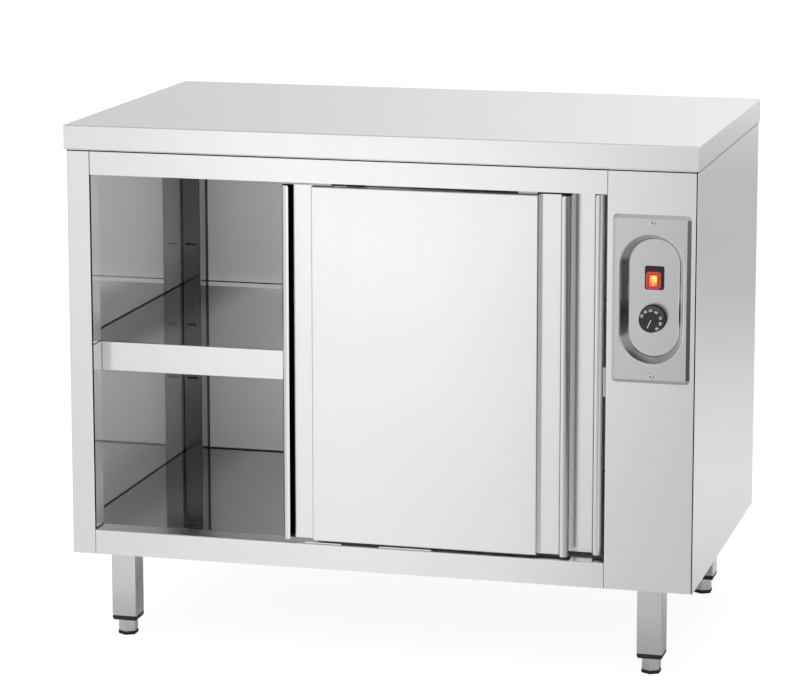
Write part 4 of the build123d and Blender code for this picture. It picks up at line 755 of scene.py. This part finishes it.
class PLATECABINET_OT_switch(Operator):
    """Finishes the lit rocker switch and its frame"""

    bl_idname = "plate_cabinet.switch"
    bl_label = "Rocker switch"

    BOOT_SHIFT = Vector((-0.4, 0, -3.0)) * MM  # of the boot's middle from the bezel's
    WALL, CROWN, DRAFT = 1.0 * MM, 1.6 * MM, 0.25 * MM  # of the boot: wall, crown radius, lean of its sides
    FOOT_CORNER, CORNER, CROWN_CORNER = 4.2 * MM, 4.0 * MM, 2.8 * MM  # outer corner radii, foot to crown
    INNER_CORNER, INNER_FOOT_CORNER = 3.0 * MM, 3.2 * MM

    def execute(self, context):
        # polished moulded ABS: black with clear reflections
        finish(moulded_plastic("gloss_black_bezel", "#121212", 0.22, 0.6), "switch_bezel")
        finish(self.rocker_material(), "switch_rocker")
        self.make_boot()
        return {"FINISHED"}

    def rocker_material(self):
        # clear red polycarbonate over a neon lamp: red rim, orange heart, brightest at the lamp
        material, tree, shader, place = new_material("lit_red_polycarbonate")
        low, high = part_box("switch_rocker")
        offset = add_node(
            tree,
            "VectorMath",
            {0: place.outputs["Object"], 1: tuple((low + high) / 2)},
            operation="SUBTRACT",
        ).outputs[0]
        axes = add_node(tree, "SeparateXYZ", {0: offset})
        heart = window(tree, axes, (6.0, 7.2), (1.2, 1.4))
        warm = lamp_glow(tree, offset, (2.5 * MM, -4 * MM, 3.5 * MM), 12, "#e8452f", "#ffd040")
        glow = add_node(
            tree, "Mix", {"Factor": heart, "A": linear("#7a1410"), "B": warm}, data_type="RGBA"
        )
        shader.inputs["Base Color"].default_value = linear("#a51e1a")
        shader.inputs["Roughness"].default_value = 0.2
        shader.inputs["IOR"].default_value = 1.58
        shader.inputs["Emission Strength"].default_value = 0.75
        feed(tree, shader, Emission_Color=glow.outputs["Result"])
        return material

    def make_boot(self):
        """Clear soft boot over the rocker: a rounded cap with a rim on the bezel's face."""
        size = settings()
        centre = front_middle("switch_bezel") + self.BOOT_SHIFT
        half_x, half_z, proud = size.boot_width / 2, size.boot_height / 2, size.boot_depth
        boot = bmesh.new()

        def ring(inset, y, corner):
            points = []
            for quarter, (sx, sz) in enumerate(((1, 1), (-1, 1), (-1, -1), (1, -1))):
                for step in range(6):
                    turn = math.radians(90 * quarter + 18 * step)
                    x = sx * (half_x - inset - corner) + corner * math.cos(turn)
                    z = sz * (half_z - inset - corner) + corner * math.sin(turn)
                    points.append(boot.verts.new(centre + Vector((x, y, z))))
            return points

        # outer skin from the bezel to the crown, then the inner skin back down
        rings = [ring(0.0, 0.0, self.FOOT_CORNER), ring(self.DRAFT, self.CROWN - proud, self.CORNER)]
        for step in range(1, 5):
            turn = math.radians(90 * step / 4)
            inwards, outwards = 1 - math.cos(turn), 1 - math.sin(turn)
            corner = self.CORNER + (self.CROWN_CORNER - self.CORNER) * inwards
            rings.append(ring(self.DRAFT + self.CROWN * inwards, self.CROWN * outwards - proud, corner))
        crown = boot.faces.new(rings[-1])
        roof = ring(self.WALL, self.WALL - proud, self.INNER_CORNER)
        foot = ring(self.WALL, 0.0, self.INNER_FOOT_CORNER)
        boot.faces.new(reversed(roof))
        for first, second in list(zip(rings, rings[1:])) + [(roof, foot), (foot, rings[0])]:
            add_strip(boot, first, second)
        for face in boot.faces:
            face.smooth = face is not crown
        new_piece("switch_boot", boot, self.boot_material(centre, proud), "cabinet")

    def boot_material(self, centre, proud):
        # soft PVC, moulded glossy and tinted red: pink at its rim, lit from inside by the rocker
        material, tree, shader, place = new_material("moulded_soft_pvc_boot")
        offset = add_node(
            tree, "VectorMath", {0: place.outputs["Object"], 1: tuple(centre)}, operation="SUBTRACT"
        ).outputs[0]
        axes = add_node(tree, "SeparateXYZ", {0: offset})
        soft = {"interpolation_type": "SMOOTHSTEP"}
        heart = window(tree, axes, (5.4, 8.0), (1.0, 1.0), (0.2, 0.0), **soft)
        rim = window(tree, axes, (8.4, 10.4), (1.2, 1.2), **soft)
        warm = lamp_glow(tree, offset, (3.0 * MM, -proud, 3.5 * MM), 10, "#ee5a34", "#ffdc50")
        body = add_node(
            tree,
            "Mix",
            {"Factor": rim, "A": linear("#b8483c"), "B": linear("#9c2018")},
            data_type="RGBA",
        ).outputs["Result"]
        lit = add_node(
            tree, "Mix", {"Factor": heart, "A": body, "B": warm}, data_type="RGBA"
        ).outputs["Result"]
        # the on and off marks of the rocker, seen through the boot: a line and a ring
        line = window(tree, axes, (0.35, 1.5), (0.25, 0.25), (0.0, -5.4), **soft)
        spot = add_node(
            tree, "VectorMath", {0: offset, 1: (0.0, -proud, 4.6 * MM)}, operation="DISTANCE"
        )
        circle = near_plane(tree, spot.outputs["Value"], 1.3 * MM, 0.6 * MM, 0.3 * MM)
        marks = add_node(tree, "Math", {0: line, 1: circle}, operation="MAXIMUM")
        front = add_node(
            tree, "Math", {0: axes.outputs["Y"], 1: -proud + 0.1 * MM}, operation="LESS_THAN"
        )
        marks = add_node(tree, "Math", {0: marks.outputs[0], 1: front.outputs[0]}, operation="MULTIPLY")
        whole = add_node(
            tree,
            "Mix",
            {"Factor": marks.outputs[0], "A": lit, "B": linear("#fff2dc")},
            data_type="RGBA",
        ).outputs["Result"]
        shader.inputs["Roughness"].default_value = 0.25
        shader.inputs["IOR"].default_value = 1.53
        shader.inputs["Emission Strength"].default_value = 0.45
        feed(tree, shader, Base_Color=whole, Emission_Color=whole)
        return material


class PLATECABINET_OT_heater(Operator):
    """Finishes the heater, fan and motor behind the partition"""

    bl_idname = "plate_cabinet.heater"
    bl_label = "Heater and fan"

    def execute(self, context):
        # steel sheath that has glowed: brown-grey and dull
        finish(plain_metal("oxidised_heater_sheath", "#7a726a", "#4e4843", 0.45, 2.0), "heating_element")
        # cast aluminium: pale and a little grainy
        finish(plain_metal("cast_aluminium_wheel", "#b5b7b9", "#97999b", 0.5, 1.2), "fan_wheel")
        # baked enamel: black with a half gloss
        finish(moulded_plastic("black_enamelled_motor", "#1b1c1e", 0.45, 0.8), "fan_motor")
        return {"FINISHED"}


class PLATECABINET_OT_cord_entry(Operator):
    """Finishes the cable gland and its nut"""

    bl_idname = "plate_cabinet.cord_entry"
    bl_label = "Cable gland"

    def execute(self, context):
        # moulded polyamide: black, nearly matt
        finish(moulded_plastic("black_polyamide_gland", "#151515", 0.5, 0.7), "cable_gland", "gland_nut")
        return {"FINISHED"}


class PLATECABINET_OT_legs(Operator):
    """Finishes the legs, their caps and the levelling feet"""

    bl_idname = "plate_cabinet.legs"
    bl_label = "Legs and feet"

    def execute(self, context):
        corners = [f"{end}_{side}" for end in ("front", "rear") for side in ("left", "right")]
        tube = steel_sheet("brushed_stainless_tube", "Z", None, "#dadada")
        finish(tube, *(f"{c}_leg" for c in corners))
        # moulded polyamide: black with a soft edge of light
        finish(moulded_plastic("black_polyamide_cap", "#141414", 0.45, 0.7), "leg_caps")
        # turned steel: bright flats that catch the light one by one
        foot = plain_metal("turned_steel_foot", "#ececec", "#d4d4d4", 0.3, 0.8)
        finish(foot, *(f"{c}_foot" for c in corners))
        # moulded rubber: matt black
        pad = moulded_plastic("black_rubber_pad", "#111111", 0.7, 0.8)
        finish(pad, *(f"{c}_foot_pad" for c in corners))
        # zinc plate: pale grey with a dull gloss
        finish(plain_metal("zinc_plated_bolt", "#c6c8ca", "#a5a7a9", 0.3, 0.8), "leg_bolts")
        return {"FINISHED"}


class PLATECABINET_OT_stage(Operator):
    """Builds the floor, the studio light and the camera"""

    bl_idname = "plate_cabinet.stage"
    bl_label = "Studio"

    FLOOR_REACH = 12.0
    FAN_POINT = (1.31, 4.53)  # X and Y of the point that the bright lane's edges fan out from
    PATCH_POINT = (1.4, 4.2, 0)  # middle of the dim paper behind the cabinet
    # brightness across the lane, as position and level, close to the cabinet and far from it
    LANE_NEAR = (
        (0.0, 0.74), (0.18, 0.78), (0.30, 0.90), (0.38, 0.96),
        (0.46, 0.90), (0.6, 0.66), (0.75, 0.45), (1.0, 0.42),
    )
    LANE_FAR = (
        (0.0, 0.68), (0.2, 0.72), (0.30, 0.96), (0.38, 1.0),
        (0.46, 0.96), (0.56, 0.74), (0.64, 0.46), (1.0, 0.42),
    )

    def execute(self, context):
        scene = context.scene
        scene.view_settings.view_transform = "Standard"
        scene.cycles.max_bounces = 16
        scene.cycles.glossy_bounces = 10
        self.make_camera(scene)
        self.make_floor(scene)
        self.make_world(scene)
        self.make_lamps(scene)
        return {"FINISHED"}

    def make_camera(self, scene):
        camera = bpy.data.objects.new("camera", bpy.data.cameras.new("camera"))
        scene.collection.objects.link(camera)
        camera.location = (1.3106, -5.1164, 1.5036)
        camera.rotation_euler = Euler([math.radians(a) for a in (79.99, 0.04, 14.75)])
        camera.data.sensor_width = 36.0
        camera.data.lens = 149.2
        camera.data.shift_y = -0.1  # keeps the cabinet's upright edges nearly upright
        scene.camera = camera

    def make_floor(self, scene):
        mesh = bpy.data.meshes.new("studio_floor")
        reach = self.FLOOR_REACH
        corners = [(x * reach, y * reach, 0) for x, y in ((-1, -1), (1, -1), (1, 1), (-1, 1))]
        mesh.from_pydata(corners, [], [(0, 1, 2, 3)])
        floor = bpy.data.objects.new("studio_floor", mesh)
        scene.collection.objects.link(floor)
        material = bpy.data.materials.new("white_paper_floor")
        material.use_nodes = True
        tree = material.node_tree
        tree.nodes.clear()
        tone = self.paper_tone(tree)
        path = add_node(tree, "LightPath")
        lit = add_node(tree, "BsdfDiffuse", {"Color": tone})
        sheen = add_node(tree, "Emission", {"Color": tone, "Strength": 0.1})
        reflected = add_node(tree, "AddShader", {0: lit.outputs[0], 1: sheen.outputs[0]})
        shine = add_node(tree, "Emission", {"Color": (1, 1, 1, 1), "Strength": 0.9})
        paper = add_node(tree, "BsdfDiffuse", {"Color": linear("#777777")})
        shown = add_node(tree, "AddShader", {0: shine.outputs[0], 1: paper.outputs[0]})
        seen = add_node(
            tree,
            "MixShader",
            {0: path.outputs["Is Camera Ray"], 1: reflected.outputs[0], 2: shown.outputs[0]},
        )
        add_node(tree, "OutputMaterial", {"Surface": seen.outputs[0]})
        mesh.materials.append(material)

    def paper_tone(self, tree):
        """What polished metal sees: a bright lane of paper towards the lamps, dimmer on both sides."""
        place = add_node(tree, "TexCoord")
        axes = add_node(tree, "SeparateXYZ", {0: place.outputs["Object"]})
        y = axes.outputs["Y"]
        across = add_node(tree, "Math", {0: axes.outputs["X"], 1: -self.FAN_POINT[0]}, operation="ADD")
        ahead = add_node(tree, "Math", {0: self.FAN_POINT[1], 1: y}, operation="SUBTRACT")
        lane = add_node(
            tree, "Math", {0: across.outputs[0], 1: ahead.outputs[0]}, operation="DIVIDE"
        ).outputs[0]
        away = add_node(
            tree, "VectorMath", {0: place.outputs["Object"], 1: self.PATCH_POINT}, operation="DISTANCE"
        ).outputs["Value"]
        fades = {}
        for name, value, start, end, low, high, curve in (
            ("spread", lane, -0.45, 0.0, 0.0, 1.0, "LINEAR"),  # place across the lane
            ("far", y, -1.0, -4.5, 0.0, 1.0, "SMOOTHSTEP"),
            ("patch", away, 0.8, 3.6, 0.45, 0.72, "SMOOTHSTEP"),
            ("behind", y, -0.6, 0.4, 0.0, 1.0, "SMOOTHSTEP"),
            ("reach", y, -1.4, -4.5, 0.87, 1.05, "LINEAR"),  # a little brighter further out
            ("shade", y, -0.62, -0.38, 1.0, 0.75, "SMOOTHSTEP"),  # under the cabinet
            ("edge", lane, 0.02, 0.10, 1.0, 0.12, "SMOOTHSTEP"),  # end of the paper on the right
            ("beyond", lane, 0.22, 0.40, 0.0, 0.3, "SMOOTHSTEP"),  # and a paler wall past it
        ):
            fades[name] = add_node(
                tree,
                "MapRange",
                {"Value": value, "From Min": start, "From Max": end, "To Min": low, "To Max": high},
                interpolation_type=curve,
            ).outputs[0]
        tones = []
        for stops in (self.LANE_NEAR, self.LANE_FAR):
            ramp = add_node(tree, "ValToRGB", {"Fac": fades["spread"]})
            ramp.color_ramp.interpolation = "EASE"
            for i, (at, level) in enumerate(stops):
                stop = ramp.color_ramp.elements[i] if i < 2 else ramp.color_ramp.elements.new(at)
                stop.position, stop.color = at, (level, level, level, 1)
            tones.append(ramp.outputs["Color"])
        front = add_node(
            tree, "Mix", {"Factor": fades["far"], "A": tones[0], "B": tones[1]}, data_type="RGBA"
        ).outputs["Result"]
        edge = add_node(tree, "Math", {0: fades["edge"], 1: fades["beyond"]}, operation="ADD")
        level = 1.0
        for share in (fades["reach"], fades["shade"], edge.outputs[0]):
            level = add_node(tree, "Math", {0: level, 1: share}, operation="MULTIPLY").outputs[0]
        front = add_node(tree, "VectorMath", {0: front, "Scale": level}, operation="SCALE")
        grey = add_node(tree, "CombineColor", {i: fades["patch"] for i in range(3)})
        return add_node(
            tree,
            "Mix",
            {"Factor": fades["behind"], "A": front.outputs[0], "B": grey.outputs[0]},
            data_type="RGBA",
        ).outputs["Result"]

    def make_world(self, scene):
        world = bpy.data.worlds.new("studio_world")
        scene.world = world
        world.use_nodes = True
        tree = world.node_tree
        tree.nodes.clear()
        place = add_node(tree, "TexCoord")
        axes = add_node(tree, "SeparateXYZ", {0: place.outputs["Generated"]})
        fades = {}
        for name, axis, start, end, low, high in (
            ("left", "X", -0.38, -0.10, 0.67, 0.96),  # the backdrop is a little darker to the left
            ("upward", "Z", 0.3, 0.8, 1.0, 0.8),  # the room over the lamps is darker too
            ("over", "Z", 0.165, 0.20, 1.0, 0.9),  # in front, over the paper's far end
            ("right", "X", 0.36, 0.42, 1.0, 0.7),  # and in front to the right
        ):
            value = axes.outputs[axis]
            fades[name] = add_node(
                tree,
                "MapRange",
                {"Value": value, "From Min": start, "From Max": end, "To Min": low, "To Max": high},
                interpolation_type="SMOOTHSTEP",
            ).outputs[0]
        ahead = add_node(tree, "Math", {0: axes.outputs["Y"], 1: 0.0}, operation="LESS_THAN")
        gloom = add_node(
            tree, "Math", {0: fades["over"], 1: fades["right"]}, operation="MULTIPLY"
        ).outputs[0]
        gloom = add_node(
            tree, "Mix", {"Factor": ahead.outputs[0], "A": 1.0, "B": gloom}, data_type="FLOAT"
        ).outputs["Result"]
        studio = 1.0
        for share in (fades["left"], fades["upward"], gloom):
            studio = add_node(tree, "Math", {0: studio, 1: share}, operation="MULTIPLY").outputs[0]
        path = add_node(tree, "LightPath")
        white = add_node(
            tree,
            "Mix",
            {"Factor": path.outputs["Is Camera Ray"], "A": studio, "B": 1.0},
            data_type="FLOAT",
        ).outputs["Result"]
        shine = add_node(tree, "Background", {"Color": (1, 1, 1, 1), "Strength": white})
        room = add_node(tree, "Background", {"Color": (1, 1, 1, 1), "Strength": 0.62})
        direct = add_node(
            tree,
            "Math",
            {0: path.outputs["Is Camera Ray"], 1: path.outputs["Is Glossy Ray"]},
            operation="MAXIMUM",
        )
        both = add_node(
            tree, "MixShader", {0: direct.outputs[0], 1: room.outputs[0], 2: shine.outputs[0]}
        )
        add_node(tree, "OutputWorld", {"Surface": both.outputs[0]})

    def make_lamps(self, scene):
        """One very wide soft key from the upper left front, as even as a cove of softboxes, and a soft
        panel that stands inside the chamber behind the doors and shines on its left half."""
        lamp = bpy.data.objects.new("studio_key", bpy.data.lights.new("studio_key", "SUN"))
        scene.collection.objects.link(lamp)
        lamp.data.energy = 1.7
        lamp.data.angle = math.radians(100)
        lamp.visible_glossy = False
        lamp.rotation_euler = Vector((-0.35, -0.45, 1.0)).to_track_quat("Z", "Y").to_euler()
        panel = bpy.data.objects.new("chamber_panel", bpy.data.lights.new("chamber_panel", "AREA"))
        scene.collection.objects.link(panel)
        panel.data.shape = "RECTANGLE"
        panel.data.size, panel.data.size_y = 0.40, 0.50
        panel.data.energy = 2.0
        panel.location = (-0.08, -0.03, 0.50)
        panel.rotation_euler = (math.radians(90), 0, math.radians(90))
        panel.visible_camera = panel.visible_glossy = False


class PLATECABINET_PT_sidebar(Panel):
    bl_label = "Plate Warmer"
    bl_idname = "PLATECABINET_PT_sidebar"
    bl_space_type = "VIEW_3D"
    bl_region_type = "UI"
    bl_category = "Plate Warmer"

    def draw(self, context):
        for name in PlateCabinetSettings.__annotations__:
            self.layout.prop(settings(), name)
        for operator in OPERATORS:
            self.layout.operator(operator.bl_idname)


OPERATORS = (
    PLATECABINET_OT_stage,
    PLATECABINET_OT_worktop,
    PLATECABINET_OT_outer_panels,
    PLATECABINET_OT_chamber,
    PLATECABINET_OT_doors,
    PLATECABINET_OT_running_gear,
    PLATECABINET_OT_control_plate,
    PLATECABINET_OT_dial,
    PLATECABINET_OT_switch,
    PLATECABINET_OT_heater,
    PLATECABINET_OT_cord_entry,
    PLATECABINET_OT_legs,
)
CLASSES = (PlateCabinetSettings, *OPERATORS, PLATECABINET_PT_sidebar)


def register():
    for cls in CLASSES:
        bpy.utils.register_class(cls)
    bpy.types.Scene.plate_cabinet = PointerProperty(type=PlateCabinetSettings)


def unregister():
    del bpy.types.Scene.plate_cabinet
    for cls in reversed(CLASSES):
        bpy.utils.unregister_class(cls)


def main():
    register()
    for operator in OPERATORS:
        group, name = operator.bl_idname.split(".")
        getattr(getattr(bpy.ops, group), name)()


if __name__ == "__main__":
    main()
